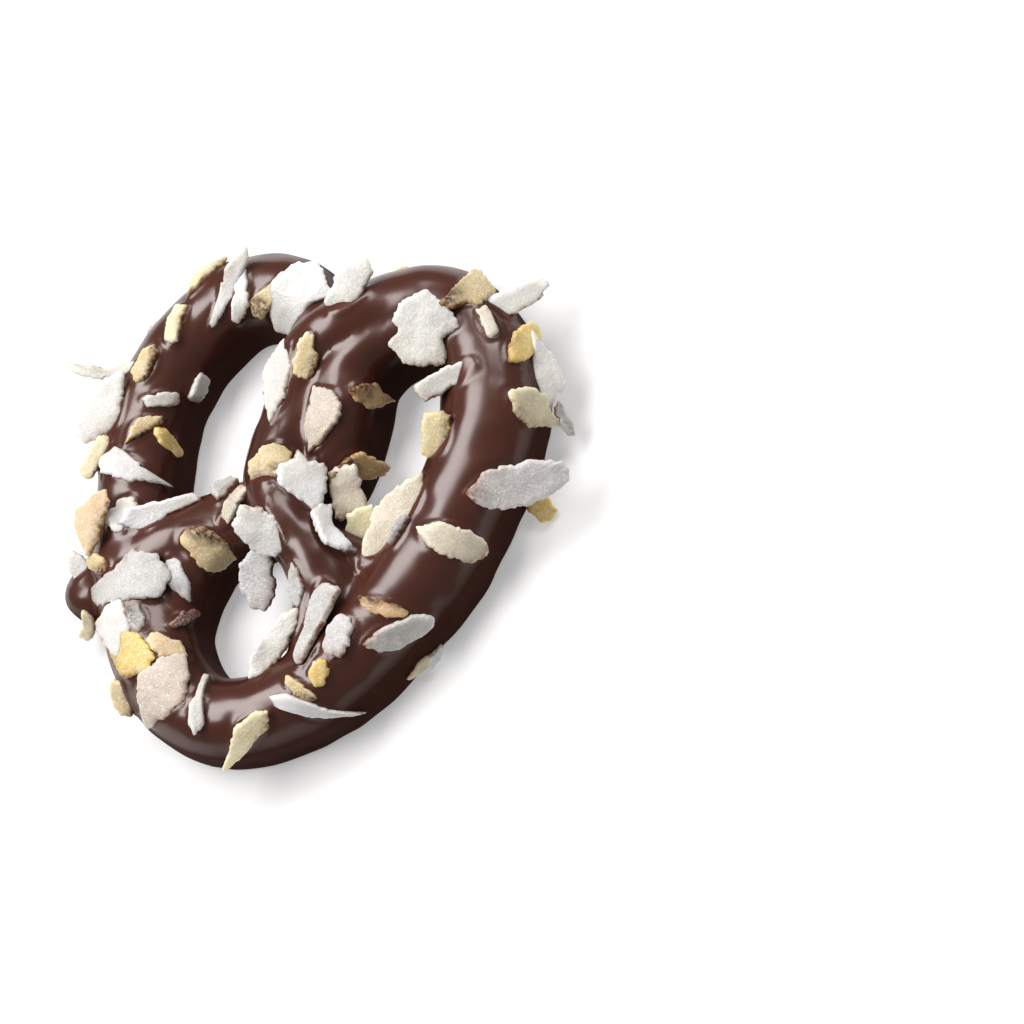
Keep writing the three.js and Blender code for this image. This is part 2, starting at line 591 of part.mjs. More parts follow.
// The outer skin alone: a bubble sealed in under a flake is filled. Triangles belong together when
// they share an edge.
function outerSkin({ vertProperties, triVerts }) {
  const count = triVerts.length / 3;
  const root = Array.from({ length: count }, (_, i) => i);
  const find = (i) => {
    while (root[i] !== i) i = root[i] = root[root[i]];
    return i;
  };
  const owner = new Map();
  for (let i = 0; i < triVerts.length; i++) {
    const a = triVerts[i];
    const b = triVerts[i % 3 === 2 ? i - 2 : i + 1];
    const face = Math.floor(i / 3);
    owner.set(`${a} ${b}`, face);
    const other = owner.get(`${b} ${a}`);
    if (other !== undefined) root[find(face)] = find(other);
  }
  const sizes = new Map();
  for (let i = 0; i < count; i++) sizes.set(find(i), (sizes.get(find(i)) ?? 0) + 1);
  const [biggest] = [...sizes].sort((a, b) => b[1] - a[1])[0];
  const index = [...triVerts].filter((_, i) => find(Math.floor(i / 3)) === biggest);
  const skin = new THREE.BufferGeometry();
  skin.setAttribute('position', new THREE.Float32BufferAttribute(vertProperties, 3));
  skin.setIndex(index);
  return skin;
}

const geometry = outerSkin(toManifold(closeShortEdges(solid.getMesh())).getMesh());
geometry.translate(-CENTRE[0], -CENTRE[1], 0);
geometry.computeVertexNormals();

const pretzel = new THREE.Mesh(geometry, new THREE.MeshStandardMaterial({
  color: CHOCOLATE, roughness: 0.35, metalness: 0,
}));
pretzel.name = 'covered_pretzel';

const part = new THREE.Group();
part.add(pretzel);

export default part;
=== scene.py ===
import math

import bpy
import numpy as np
from mathutils import Matrix, Vector
from mathutils.bvhtree import BVHTree


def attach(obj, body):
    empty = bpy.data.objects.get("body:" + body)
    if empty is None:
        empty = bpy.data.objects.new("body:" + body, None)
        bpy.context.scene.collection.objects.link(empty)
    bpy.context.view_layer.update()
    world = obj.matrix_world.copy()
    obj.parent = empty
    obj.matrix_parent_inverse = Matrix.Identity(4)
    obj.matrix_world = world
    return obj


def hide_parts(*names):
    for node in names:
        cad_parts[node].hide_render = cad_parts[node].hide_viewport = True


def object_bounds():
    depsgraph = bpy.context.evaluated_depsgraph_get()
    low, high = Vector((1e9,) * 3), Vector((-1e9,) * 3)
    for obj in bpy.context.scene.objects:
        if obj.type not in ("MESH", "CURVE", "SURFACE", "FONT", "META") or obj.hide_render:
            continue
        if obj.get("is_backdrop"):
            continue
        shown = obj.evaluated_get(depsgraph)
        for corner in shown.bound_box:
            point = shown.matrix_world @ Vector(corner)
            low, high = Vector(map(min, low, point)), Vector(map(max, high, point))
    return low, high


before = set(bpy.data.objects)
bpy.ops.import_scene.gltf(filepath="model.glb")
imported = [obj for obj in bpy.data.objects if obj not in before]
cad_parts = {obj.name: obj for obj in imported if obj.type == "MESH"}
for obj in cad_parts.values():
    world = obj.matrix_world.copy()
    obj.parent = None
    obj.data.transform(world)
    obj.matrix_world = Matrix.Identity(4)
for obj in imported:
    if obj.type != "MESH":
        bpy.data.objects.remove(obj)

bl_info = {
    "name": "Chocolate-covered pretzel",
    "version": (1, 0, 0),
    "blender": (4, 5, 0),
    "location": "3D View > Sidebar > Pretzel",
    "description": "A knotted pretzel in dark chocolate, set with coconut flakes and golden chips",
    "category": "Object",
}

# Sizes in this file are millimetres, as a baker would give them, and MM turns them into Blender's metres.
MM = 0.001

# ------------ the pretzel's driving dimensions

# Course of the rope, drawn from the left end through the knot, round the left lobe, the bow and the
# right lobe, and through the knot again to the right end: x, y, width, height of the crown.
COURSE = (
    (-18.2, -12.3, 6.4, 5.8),  # left end, sticks out past the bow
    (-13.2, -8.4, 7.4, 7.9),
    (-8.2, -5.2, 7.9, 7.6),
    (-3.4, -1.9, 7.5, 6.6),    # under the right arm
    (1.0, 1.3, 6.8, 6.6),
    (2.2, 5.0, 6.9, 7.9),
    (2.1, 9.6, 7.0, 8.3),
    (1.2, 13.7, 7.0, 8.0),
    (-2.0, 17.4, 7.2, 7.2),    # under the right arm again
    (-6.2, 19.8, 8.2, 7.6),
    (-10.0, 19.7, 8.4, 7.8),   # top of the left lobe
    (-13.3, 17.6, 8.2, 7.9),
    (-16.2, 13.3, 8.2, 7.9),
    (-17.6, 8.5, 8.3, 7.9),
    (-17.8, 4.0, 8.3, 7.9),
    (-17.2, 0.0, 8.4, 7.9),
    (-16.3, -4.2, 8.5, 7.9),
    (-14.6, -9.2, 9.0, 7.9),
    (-11.3, -15.0, 9.4, 8.0),
    (-7.9, -19.7, 8.8, 8.1),
    (-3.6, -22.0, 8.3, 8.1),
    (0.2, -21.8, 8.0, 8.1),    # bottom of the bow
    (3.6, -20.2, 8.0, 8.1),
    (6.8, -17.5, 8.7, 8.1),
    (9.6, -13.6, 9.3, 8.2),
    (12.1, -9.1, 9.3, 8.2),
    (14.4, -4.2, 9.8, 8.2),
    (15.6, 1.0, 9.8, 8.2),
    (16.4, 6.4, 9.9, 8.2),
    (16.4, 11.0, 10.1, 8.2),
    (15.0, 15.2, 9.7, 8.2),
    (12.2, 18.7, 9.4, 8.2),
    (8.4, 20.3, 9.1, 8.2),     # top of the right lobe
    (4.6, 19.2, 8.5, 8.6),
    (0.8, 16.9, 7.7, 9.4),     # over the left arm
    (-2.1, 13.8, 7.2, 9.0),
    (-2.5, 9.8, 6.8, 8.5),
    (-2.4, 5.6, 6.8, 8.6),
    (-2.2, 1.6, 6.8, 9.2),
    (-0.3, -2.2, 6.6, 10.2),   # over the left arm again
    (3.0, -5.1, 6.6, 9.6),
    (6.2, -8.4, 7.2, 8.6),
    (9.2, -11.8, 7.0, 7.2),    # right end, runs into the bow
)
# Pools where the coat ran together between neighbouring strands: x, y, width, height.
POOLS = (
    (
        (6.2, 16.9, 5.0, 8.0), (3.6, 15.3, 6.4, 8.4), (1.6, 12.4, 6.6, 8.3), (0.2, 8.8, 5.6, 8.0),
        (-0.2, 5.2, 5.0, 7.8),
    ),
    ((5.4, -4.6, 4.8, 7.4), (8.2, -5.4, 4.8, 7.0), (10.8, -6.2, 4.8, 7.2)),
    ((-8.6, -8.2, 5.8, 7.2), (-9.4, -11.2, 6.2, 6.8), (-9.4, -14.6, 6.2, 6.8)),
    ((5.2, -8.4, 5.2, 8.0), (5.6, -11.6, 5.8, 7.8), (6.2, -14.8, 5.6, 7.8)),
)
LEFT_LOBE = 10        # places on the course where it is cut into three lengths
RIGHT_LOBE = 32
OVERLAP = 0.42
LAST = len(COURSE) - 1

WALL = 0.34           # share of the height that stands upright
SHOULDER = 2.15       # 2 is an ellipse, more is squarer
TUCK = 0.38           # how far the foot is tucked in under the rope
TUCK_HEIGHT = 0.8
CENTRE = np.array((0.3, -1.28, 0))    # middle of the whole part, moved to the origin

# Flakes are placed as they look from one point in front of and above the pretzel.
EYE = np.array((113.3, -65.4, 238.0))
BACK = np.array((0.3545, -0.2585, 0.8986))
RIGHT = np.array((0.9231, 0.25, -0.2922))
UP = np.array((-0.1491, 0.9331, 0.3272))
PLANE = 4.0           # height of the plane on which the flakes' places are given
NUDGE = (0.1, -0.4)

# Plans of a flake: points round it, anticlockwise from the head, in a square from -1 to 1.
PLANS = {
    "oval": (
        (1, 0), (0.75, 0.65), (0, 1), (-0.75, 0.65), (-1, 0), (-0.75, -0.65), (0, -1), (0.75, -0.65),
    ),
    "block": (
        (1, -0.1), (0.9, 0.85), (0, 0.95), (-0.95, 0.8), (-1, 0), (-0.9, -0.85), (0, -0.9),
        (0.95, -0.9),
    ),
    "slab": (
        (0.95, -0.1), (0.85, 0.6), (0.3, 0.95), (-0.55, 0.85), (-1, 0.1), (-0.7, -0.7), (-0.2, -1),
        (0.6, -0.75),
    ),
    "lens": (
        (1, 0), (0.6, 0.6), (0, 0.95), (-0.55, 0.6), (-1, 0), (-0.6, -0.6), (0.1, -1), (0.65, -0.65),
    ),
    "hull": (
        (1, 0.3), (0.5, 0.85), (-0.4, 0.75), (-1, 0.7), (-0.8, -0.3), (-0.4, -0.85), (0.3, -1),
        (0.9, -0.4),
    ),
    "hump": (
        (1, -0.3), (0.6, 0.35), (0.15, 1), (-0.35, 0.8), (-0.65, 0.15), (-1, -0.5), (-0.3, -0.9),
        (0.75, -0.85),
    ),
    "fan": (
        (1, -0.2), (0.75, 0.6), (0.3, 1), (-0.25, 0.45), (-1, 0.2), (-0.95, -0.45), (0, -0.85),
        (0.75, -1),
    ),
    "thorn": (
        (1, -0.1), (0.1, 0.3), (-0.3, 0.7), (-0.75, 0.95), (-1, 0.1), (-0.85, -0.85), (-0.2, -0.9),
        (0.4, -0.45),
    ),
    "paddle": (
        (1, 0.25), (0.35, 0.3), (-0.25, 0.95), (-0.7, 0.75), (-1, 0.1), (-0.65, -0.95), (0.1, -0.4),
        (0.9, -0.35),
    ),
    "kite": (
        (1, 0.15), (0.35, 0.45), (0.05, 1), (-0.5, 0.75), (-0.95, 0), (-0.6, -0.7), (0, -1),
        (0.45, -0.4),
    ),
    "pennant": (
        (1, -0.1), (0.4, 0.65), (-0.3, 0.8), (-0.9, 0.75), (-1, 0.1), (-0.6, -0.5), (-0.2, -0.85),
        (0.5, -0.5),
    ),
    "star": (
        (1, 0), (0.5, 0.6), (0, 1), (-0.4, 0.65), (-0.9, 0.6), (-0.75, -0.3), (-0.3, -1), (0.65, -0.5),
    ),
    "cloud": (
        (1, 0), (0.65, 0.7), (0.15, 0.95), (-0.1, 0.65), (-0.45, 1), (-0.95, 0.35), (-0.85, -0.75),
        (-0.2, -0.6), (0.1, -1), (0.65, -0.6),
    ),
    "crown": (
        (1, 0.1), (0.8, 0.65), (0.2, 0.95), (-0.5, 0.8), (-0.9, 0.2), (-0.8, -0.55), (0.25, -0.6),
        (0.6, -1),
    ),
    "shell": (
        (0.95, 0.5), (0.3, 1), (-0.5, 0.8), (-0.95, 0.2), (-0.55, -0.45), (-0.1, -0.75), (0.4, -1),
        (0.85, -0.4),
    ),
    "spear": (
        (1, -0.3), (0.75, 0.4), (0.2, 0.9), (-0.3, 0.55), (-1, 0.1), (-0.5, -0.4), (0.1, -0.6),
        (0.55, -0.9),
    ),
    "step": (
        (1, 0.3), (0.5, 0.9), (-0.9, 0.85), (-1, 0), (-0.9, -0.95), (0.1, -0.95), (0.45, -0.45),
        (0.95, -0.25),
    ),
    "wing": (
        (0.95, 0.7), (-0.4, 0.9), (-1, 0.5), (-0.85, 0), (-0.35, -0.5), (0.1, -1), (0.5, -0.7),
        (0.8, -0.3),
    ),
    "saddle": (
        (0.9, 0.3), (0.95, 0.95), (0.1, 0.55), (-0.75, 0.9), (-0.9, 0), (-0.6, -0.75), (0, -0.85),
        (0.6, -0.7),
    ),
    "blade": (
        (1, -0.6), (0.7, 0.1), (0.5, 0.9), (-0.4, 0.6), (-1, 0.1), (-0.4, -0.3), (0.1, -0.8),
        (0.6, -0.95),
    ),
    "sheet": (
        (0.95, 0.6), (-0.1, 0.7), (-0.95, 0.8), (-0.9, 0.2), (-0.4, -0.15), (-0.25, -0.75),
        (0.45, -0.9), (0.7, -0.2),
    ),
    "chip": (
        (0.95, 0.3), (0.4, 0.9), (-0.5, 0.9), (-0.95, 0.3), (-0.85, -0.55), (-0.2, -0.8), (0.35, -1),
        (0.85, -0.6),
    ),
    "wedge": (
        (0.95, 0.6), (0.6, 0.9), (0.1, 0.6), (-0.9, 0.25), (-1, -0.2), (-0.9, -0.6), (-0.1, -0.6),
        (0.9, -0.95),
    ),
    "shard": (
        (1, -0.35), (0.8, 0.25), (0.4, 0.65), (-0.15, 1), (-0.55, 0.5), (-1, 0.4), (-0.85, -0.05),
        (-0.85, -0.6), (-0.5, -1), (0.2, -0.75),
    ),
}

# Flakes that can be seen: x, y, length, width, heading in degrees, plan, sideways bow, lift of the
# head in degrees or "clear" for one that stands free of the rope, rise off the rope, tone and, where
# it shows, side of the dark husk in degrees from the head.
FLAKES = (
    (-16.9, 20.9, 5.4, 1.5, 43, "hump", 0, 0, 0, "pale", -90),
    (-14.1, 20.4, 8.9, 1.9, 66, "fan", 0, 8, 0, "white"),
    (-12.4, 19.6, 5.6, 2.2, 85, "pennant", 0, 0, 0, "snow"),
    (-9.5, 20.3, 6.0, 2.5, 52, "thorn", 0, 0, 0, "gold", 180),
    (-6.7, 19.7, 8.2, 5.9, 60, "crown", 0, 4, 0, "snow"),
    (-18.4, 15.8, 4.1, 1.6, 70, "block", -0.04, 0, 0, "pale"),
    (-20.2, 11.1, 4.5, 2.0, 63, "slab", 0, 0, 0, "dusky", -80),
    (-14.1, 9.6, 3.0, 1.5, 62, "block", 0, 0, 0, "frost"),
    (-17.5, 7.8, 3.5, 1.4, 5, "block", 0, 0, 0, "frost"),
    (-24.7, 10.0, 7.8, 1.2, 1, "block", 0.13, 0, 0, "white"),
    (-22.9, 6.2, 8.2, 5.0, 66, "pennant", 0, 0, 0.9, "white"),
    (-18.7, 4.7, 4.7, 1.8, 34, "hump", 0, 0, 0, "dusky", -90),
    (-15.5, 3.7, 3.9, 1.5, -46, "slab", 0, 0, 0, "amber", 120),
    (-22.6, 1.1, 4.6, 1.9, 60, "block", 0, 0, 0, "pale", -60),
    (-18.0, 0.5, 7.8, 3.3, -20, "thorn", 0, 0, 0, "white"),
    (-20.0, -5.2, 7.0, 3.6, 72, "hump", 0, 0, 0.9, "peach", -90),
    (-17.9, -4.2, 4.0, 2.6, 60, "oval", 0, 0, 0, "snow"),
    (-13.9, -3.2, 8.1, 2.7, 200, "fan", 0, "clear", 1.6, "white"),
    (-8.3, -0.2, 3.0, 2.3, 55, "hump", 0, 0, 0.1, "frost"),
    (-6.3, -1.2, 4.7, 1.3, 61, "block", -0.06, 0, 0.5, "cream"),
    (-3.1, -3.3, 6.2, 4.0, -52, "slab", 0, "clear", 1.0, "white", 150),
    (-8.1, -6.0, 6.0, 3.9, -32, "chip", 0, 0, 0, "dusky", 110),
    (-2.6, -7.9, 7.0, 4.0, -87, "hull", 0, "clear", -1.0, "frost"),
    (-20.7, -10.0, 4.1, 2.1, -70, "slab", 0, 0, 0.5, "snow"),
    (-18.7, -9.4, 2.7, 2.0, -18, "chip", 0, 0, 0, "dusky", -20),
    (-15.6, -10.4, 8.7, 5.2, 18, "fan", 0, 0, 0, "frost"),
    (-10.2, -9.5, 4.9, 2.5, -60, "pennant", 0, 0, 0, "frost"),
    (-15.0, -15.2, 6.0, 4.0, -82, "star", 0, 0, 0, "white", -90),
    (-13.3, -13.8, 2.8, 2.1, -58, "chip", 0, 0, 0, "ice"),
    (-17.8, -15.1, 3.0, 2.0, 72, "saddle", 0, 0, 0.4, "pale", -90),
    (-13.1, -17.3, 5.6, 4.3, -35, "shell", 0, 0, 0, "amber", -90),
    (-9.1, -16.2, 4.5, 2.6, -18, "pennant", 0, 0, 0, "peach", -60),
    (-8.6, -20.1, 8.1, 5.5, 62, "lens", 0, 0, 0, "fawn", -90),
    (-12.3, -21.6, 3.9, 2.4, -62, "oval", 0, 0, 0, "gold", 40),
    (-4.4, -20.5, 5.8, 1.8, 79, "paddle", 0, 0, 0, "white"),
    (1.1, -23.1, 7.9, 3.1, 57, "spear", 0, 0, 0, "pale", -60),
    (-8.5, -13.2, 3.0, 1.1, 28, "block", 0, 0, 0, "brown", 0),
    (1.2, -13.9, 8.3, 2.7, 56, "oval", 0, 0, 0, "white", -90),
    (2.0, -7.9, 4.7, 1.7, -82, "lens", 0, 0, 0, "frost"),
    (5.4, -11.5, 8.4, 2.6, 63, "wedge", 0, 3, 0.8, "frost"),
    (7.5, -12.2, 4.6, 2.8, 79, "chip", 0, 0, 0, "frost", 180),
    (10.9, -8.7, 4.9, 1.7, -14, "hull", 0, 0, 0, "rust", 100),
    (13.3, -10.7, 7.4, 2.6, 20, "slab", 0, 0, 0, "frost", 180),
    (6.6, -15.8, 2.8, 1.9, 85, "oval", 0, 0, 0, "amber", -90),
    (5.1, -17.7, 3.7, 1.5, -34, "hull", 0, 0, 0, "dusky", -45),
    (7.7, -19.1, 9.1, 1.7, -8, "thorn", 0, 0, 0, "snow"),
    (15.7, -13.5, 2.9, 1.3, 50, "spear", 0, 0, 0, "pale", -90),
    (16.9, -12.3, 2.7, 1.4, 55, "oval", 0, 0, 0, "snow", 60),
    (-6.0, 11.4, 8.2, 3.5, -97, "pennant", 0, 0, 0, "white"),
    (-3.8, 14.4, 4.5, 2.5, 78, "step", 0, 0, 0, "gold", -110),
    (-0.2, 8.5, 6.4, 3.9, 82, "wing", 0, 0, 0, "fawn", -150),
    (-1.2, 21.8, 6.5, 3.6, 57, "oval", 0, "clear", 0.9, "white", -120),
    (3.9, 11.3, 4.8, 2.5, -15, "kite", 0, 0, 0, "rust", 150),
    (-4.3, 3.2, 4.9, 3.5, 38, "slab", 0, 0, 0, "gold", -120),
    (-0.4, 1.8, 6.1, 5.0, -58, "shard", 0, "clear", 1.6, "snow"),
    (4.4, 4.3, 6.0, 2.9, 8, "hump", 0, 0, 0.2, "rust", 180),
    (4.1, 1.5, 5.2, 3.5, -78, "block", 0, "clear", 2.0, "cream", -20),
    (3.2, -2.6, 5.5, 2.5, -65, "saddle", 0.1, 0, 0.8, "snow"),
    (6.5, -1.3, 4.8, 3.2, 58, "lens", 0, 0, 0.5, "pale", -120),
    (9.9, -0.4, 10.8, 4.0, 57, "lens", 0, "clear", 1.3, "cream", -90),
    (10.5, -1.4, 3.2, 0.9, 60, "block", 0, 0, 0, "ice"),
    (7.6, 18.7, 7.8, 6.9, 85, "cloud", 0, "clear", 1.4, "white", -160),
    (10.9, 22.9, 5.2, 4.3, 52, "sheet", 0, 8, 0, "dusky", 160),
    (15.4, 22.4, 8.3, 2.9, 25, "slab", 0, "clear", 2.8, "snow"),
    (13.5, 20.3, 3.2, 1.5, -65, "block", 0, 0, 0, "cream"),
    (11.1, 13.9, 6.2, 2.3, 26, "block", 0, "clear", 0.8, "white"),
    (11.6, 8.6, 4.4, 3.0, 86, "block", 0, "clear", 0.8, "gold", -90),
    (17.5, 18.6, 4.9, 2.8, 55, "slab", 0, 0, 0, "amber", 140),
    (20.0, 16.0, 8.0, 4.0, -70, "blade", 0, "clear", 1.0, "snow", -120),
    (20.2, 12.3, 6.4, 3.8, -34, "kite", 0, 0, 0, "pale", -90),
    (22.8, 11.6, 3.7, 1.3, -62, "hull", 0, "clear", 2.3, "ice"),
    (20.7, 5.3, 10.4, 4.4, 12, "slab", 0, "clear", 2.8, "frost", 170),
    (23.4, 3.1, 3.3, 2.6, -28, "chip", 0, 0, 0.5, "amber", -150),
    (16.1, -1.4, 7.1, 3.3, -19, "slab", 0, 0, 0, "cream", -30),
)
HUSK_TURN = 137       # from one flake to the next, where the side of the husk doesn't show

# Flakes on the far flanks, scattered by a seeded draw.
FAR_FLAKES = 6
FAR_SEED = 20
FAR_TRIES = 4000
FAR_SPACING = 4.2
FAR_TURN = 86         # furthest round the rope from its crown, in degrees
FAR_LENGTHS = (2.6, 2.6)    # the shortest, and how much longer the longest is
FAR_WIDTH = 0.52      # share of the length
FAR_SAG = 0.3
FAR_LOWEST = 2.6      # height of the lowest
FAR_FACING = -0.25    # cosine of the angle to the eye that a far flake stays below
FAR_ROWS = (8, 9, 34)       # none before the first row of the course or past the third, and past the
FAR_KNOT = 19         # second none nearer the middle than this
FAR_TONES = ("white", "frost", "gold", "snow", "cream", "pale")
FAR_PLANS = ("slab", "chip", "lens", "block")

THICKNESS = 0.85
EASING = 0.2          # length over which the corners of a flake's outline are eased
PROUD = 0.28          # how far a flake's middle plane stands out of the coat
FACING = 0.4          # how much a flake on a steep side leans to the viewer
DRAPE = 0.75          # how closely a long flake follows the rope

# ------------ colours


def screen(red, green, blue):
    """A colour as it shows on a screen, 0 to 255, turned into the linear light that materials use."""
    shares = np.array((red, green, blue)) / 255
    linear = np.where(shares <= 0.04045, shares / 12.92, ((shares + 0.055) / 1.055) ** 2.4)
    return tuple(float(x) for x in linear)


# Tones of the flakes: the piece they belong to, colour, and how much dark dust clings to the husk side.
TONES = {
    "white": ("coconut_flakes", screen(234, 233, 231), 0.2),
    "snow": ("coconut_flakes", screen(246, 246, 245), 0.0),
    "frost": ("coconut_flakes", screen(214, 212, 211), 0.4),
    "ice": ("coconut_flakes", screen(180, 178, 177), 0.7),
    "fawn": ("coconut_flakes", screen(220, 208, 196), 0.4),
    "cream": ("coconut_flakes", screen(232, 223, 206), 0.3),
    "pale": ("golden_chips", screen(238, 228, 194), 0.4),
    "gold": ("golden_chips", screen(234, 217, 172), 0.8),
    "amber": ("golden_chips", screen(238, 212, 132), 0.4),
    "peach": ("golden_chips", screen(238, 214, 178), 0.5),
    "dusky": ("golden_chips", screen(226, 207, 160), 1.0),
    "rust": ("golden_chips", screen(222, 188, 134), 1.0),
    "brown": ("golden_chips", screen(132, 94, 82), 0.6),
}

# ------------ settings a user would change


class CoatSettings(bpy.types.PropertyGroup):
    mesh_size: bpy.props.FloatProperty(
        name="Mesh size", description="Side of the faces that the coat is made of",
        default=0.26 * MM, unit="LENGTH", precision=5)
    ripple: bpy.props.FloatProperty(
        name="Ripple", description="Height of the slow waves in the coat",
        default=0.18 * MM, unit="LENGTH", precision=5)
    meniscus: bpy.props.FloatProperty(
        name="Meniscus", description="How far the coat climbs a flake's edge",
        default=0.13 * MM, unit="LENGTH", precision=5)
    dark: bpy.props.FloatVectorProperty(
        name="Dark chocolate", description="Main colour of the coat",
        size=3, subtype="COLOR", default=screen(78, 42, 31))
    thin: bpy.props.FloatVectorProperty(
        name="Thin chocolate", description="Colour where the coat is thin, beside the flakes",
        size=3, subtype="COLOR", default=screen(118, 52, 30))


class FlakeSettings(bpy.types.PropertyGroup):
    mesh_size: bpy.props.FloatProperty(
        name="Mesh size", description="Side of the faces that the flakes are made of",
        default=0.17 * MM, unit="LENGTH", precision=5)
    ragged: bpy.props.FloatProperty(
        name="Raggedness", description="How far a flake's broken edge runs in and out",
        default=0.16 * MM, unit="LENGTH", precision=5)
    grain: bpy.props.FloatProperty(
        name="Grain", description="Height of the lumps on a flake",
        default=0.04 * MM, unit="LENGTH", precision=5)
    dust: bpy.props.FloatVectorProperty(
        name="Dust", description="Colour of the husk dust on one side of a flake",
        size=3, subtype="COLOR", default=screen(84, 55, 52))
    stain: bpy.props.FloatVectorProperty(
        name="Stain", description="Colour of a flake's edge where it was soaked by the coat",
        size=3, subtype="COLOR", default=screen(150, 88, 44))


class StageSettings(bpy.types.PropertyGroup):
    floor: bpy.props.FloatVectorProperty(
        name="Floor", description="Colour of the pale floor",
        size=3, subtype="COLOR", default=screen(205, 205, 205))
    glow: bpy.props.FloatProperty(
        name="Floor glow", description="Light that the floor gives off, so that shadows stay pale",
        default=0.36)
    key: bpy.props.FloatProperty(
        name="Key light", description="Power of the soft light at the upper left",
        default=2.3, unit="POWER")
    sky: bpy.props.FloatProperty(
        name="Sky", description="Strength of the even light from all round", default=0.22)


# ------------ rope shapes


def follow(course, places):
    """Reads a smooth course at places counted in rows: centre, direction ahead, width and crown.

    Between two rows it is the cubic whose slope at each row is half the step between the row's
    neighbours, and the rows are carried on straight past both ends.
    """
    rows = np.array(course, float)
    last = len(rows) - 1
    rows = np.vstack((2 * rows[0] - rows[1], rows, 2 * rows[-1] - rows[-2]))

    def read(t):
        i = np.minimum(t.astype(int), last - 1)
        w = (t - i)[:, None]
        a, b, c, d = rows[i], rows[i + 1], rows[i + 2], rows[i + 3]
        leave, arrive = (c - a) / 2, (d - b) / 2
        return ((2 * b - 2 * c + leave + arrive) * w ** 3
                + (3 * c - 3 * b - 2 * leave - arrive) * w ** 2 + leave * w + b)

    tiny = 1e-4 * last
    places = np.clip(np.asarray(places, float), tiny, last - tiny)
    ahead = (read(places + tiny) - read(places - tiny))[:, :2]
    ahead /= np.linalg.norm(ahead, axis=1, keepdims=True)
    here = read(places)
    return here[:, :2], ahead, here[:, 2], here[:, 3]


# Detail of a ring: degrees up its arch, and folds of its foot as shares of the tuck and its height.
COARSE = ((0, 24, 44, 64), ((2, -1), (0, 1)))
FINE = (
    tuple(range(0, 88, 8)),
    ((2.5, -0.7), (1.1, -0.05), (0.6, 0.08), (0.25, 0.3), (0.05, 0.65), (0, 1)),
)


def rings(course, places, detail, shrink=1.0, beyond=0.0):
    """Rings of points round a strand, as an array of places by points by x, y, z.

    Half a ring climbs the foot, then a quarter of a superellipse: out = half width * cos^(2/n) and
    height = wall + (crown - wall) * sin^(2/n). shrink draws a ring in, beyond moves it along.
    """
    degrees, sole = detail
    centre, ahead, width, crown = follow(course, places)
    shrink = np.broadcast_to(shrink, width.shape)
    half = (width * shrink / 2)[:, None]
    wall = (WALL * crown)[:, None]
    top = wall + (crown[:, None] - wall) * (0.35 + 0.65 * shrink[:, None])
    foot = WALL * top
    angles = np.radians(degrees)[None]
    folds = np.array(sole)
    out = np.hstack((half - TUCK * folds[:, 0], half * np.cos(angles) ** (2 / SHOULDER)))
    height = np.hstack((
        np.broadcast_to(TUCK_HEIGHT * folds[:, 1], (len(half), len(folds))),
        foot + (top - foot) * np.sin(angles) ** (2 / SHOULDER)))
    out = np.hstack((out, np.zeros_like(half), -out[:, ::-1]))
    height = np.hstack((height, top, height[:, ::-1]))
    side = np.stack((ahead[:, 1], -ahead[:, 0]), 1)
    moved = centre + ahead * np.reshape(beyond, (-1, 1))
    plan = moved[:, None] + side[:, None] * out[..., None]
    return np.dstack((plan, height))


def loft(ring_rows):
    """Closed skin through rings: vertices, and triangles with a fan over each end."""
    count, n = ring_rows.shape[:2]
    i, j = np.meshgrid(np.arange(count - 1), np.arange(n), indexing="ij")
    a = (i * n + j).ravel()
    b = (i * n + (j + 1) % n).ravel()
    sides = np.stack((np.stack((a, a + n, b), 1), np.stack((b, a + n, b + n), 1)), 1).reshape(-1, 3)
    k = np.arange(1, n - 1)
    end = (count - 1) * n
    near = np.stack((0 * k, k, k + 1), 1)
    far = np.stack((end + 0 * k, end + k + 1, end + k), 1)
    return ring_rows.reshape(-1, 3), np.vstack((sides, near, far))


ROUNDING = np.array((0.98, 0.8, 0.45))


def round_end(course, place, sign, detail):
    """Rings that close a strand with a quarter-circle end, from the tip inwards."""
    tips = ROUNDING if detail is COARSE else np.cos(np.radians(np.arange(8, 90, 8)))
    width = follow(course, [place])[2][0]
    return rings(course, np.full(len(tips), place), detail, np.sqrt(1 - tips ** 2), sign * tips * width / 2)


def rope_lengths(detail, per_row):
    """The rope's three lengths and the pools, each as a closed skin, with per_row rings for each row."""
    skins = []
    for start, stop, inside in (
        (0, LEFT_LOBE + OVERLAP, 1.0), (LEFT_LOBE, RIGHT_LOBE, 0.88), (RIGHT_LOBE - OVERLAP, LAST, 1.0),
    ):
        steps = round((stop - start) * per_row)
        shrink = np.ones(steps + 1)
        shrink[[0, -1]] = inside
        body = rings(COURSE, np.linspace(start, stop, steps + 1), detail, shrink)
        tip = [round_end(COURSE, 0, -1, detail)] if start == 0 else []
        skins.append(loft(np.concatenate((*tip, body))))
    for course in POOLS:
        last = len(course) - 1
        body = rings(course, np.linspace(0, last, last * per_row + 1), detail)
        tail = round_end(course, 0, -1, detail)
        head = round_end(course, last, 1, detail)[::-1]
        skins.append(loft(np.concatenate((tail, body, head))))
    return skins


def joined(skins):
    """Several (vertices, faces) as one."""
    starts = np.cumsum([0] + [len(vertices) for vertices, _ in skins[:-1]])
    return (np.vstack([vertices for vertices, _ in skins]),
            np.vstack([faces + start for (_, faces), start in zip(skins, starts)]))


# ------------ where the flakes lie


def unit(vector):
    return vector / np.linalg.norm(vector)


def turned(vector, axis, angle):
    """The vector turned about the axis by the angle, by the turning formula of a unit axis."""
    c, s = math.cos(angle), math.sin(angle)
    return vector * c + np.cross(axis, vector) * s + axis * (axis @ vector) * (1 - c)


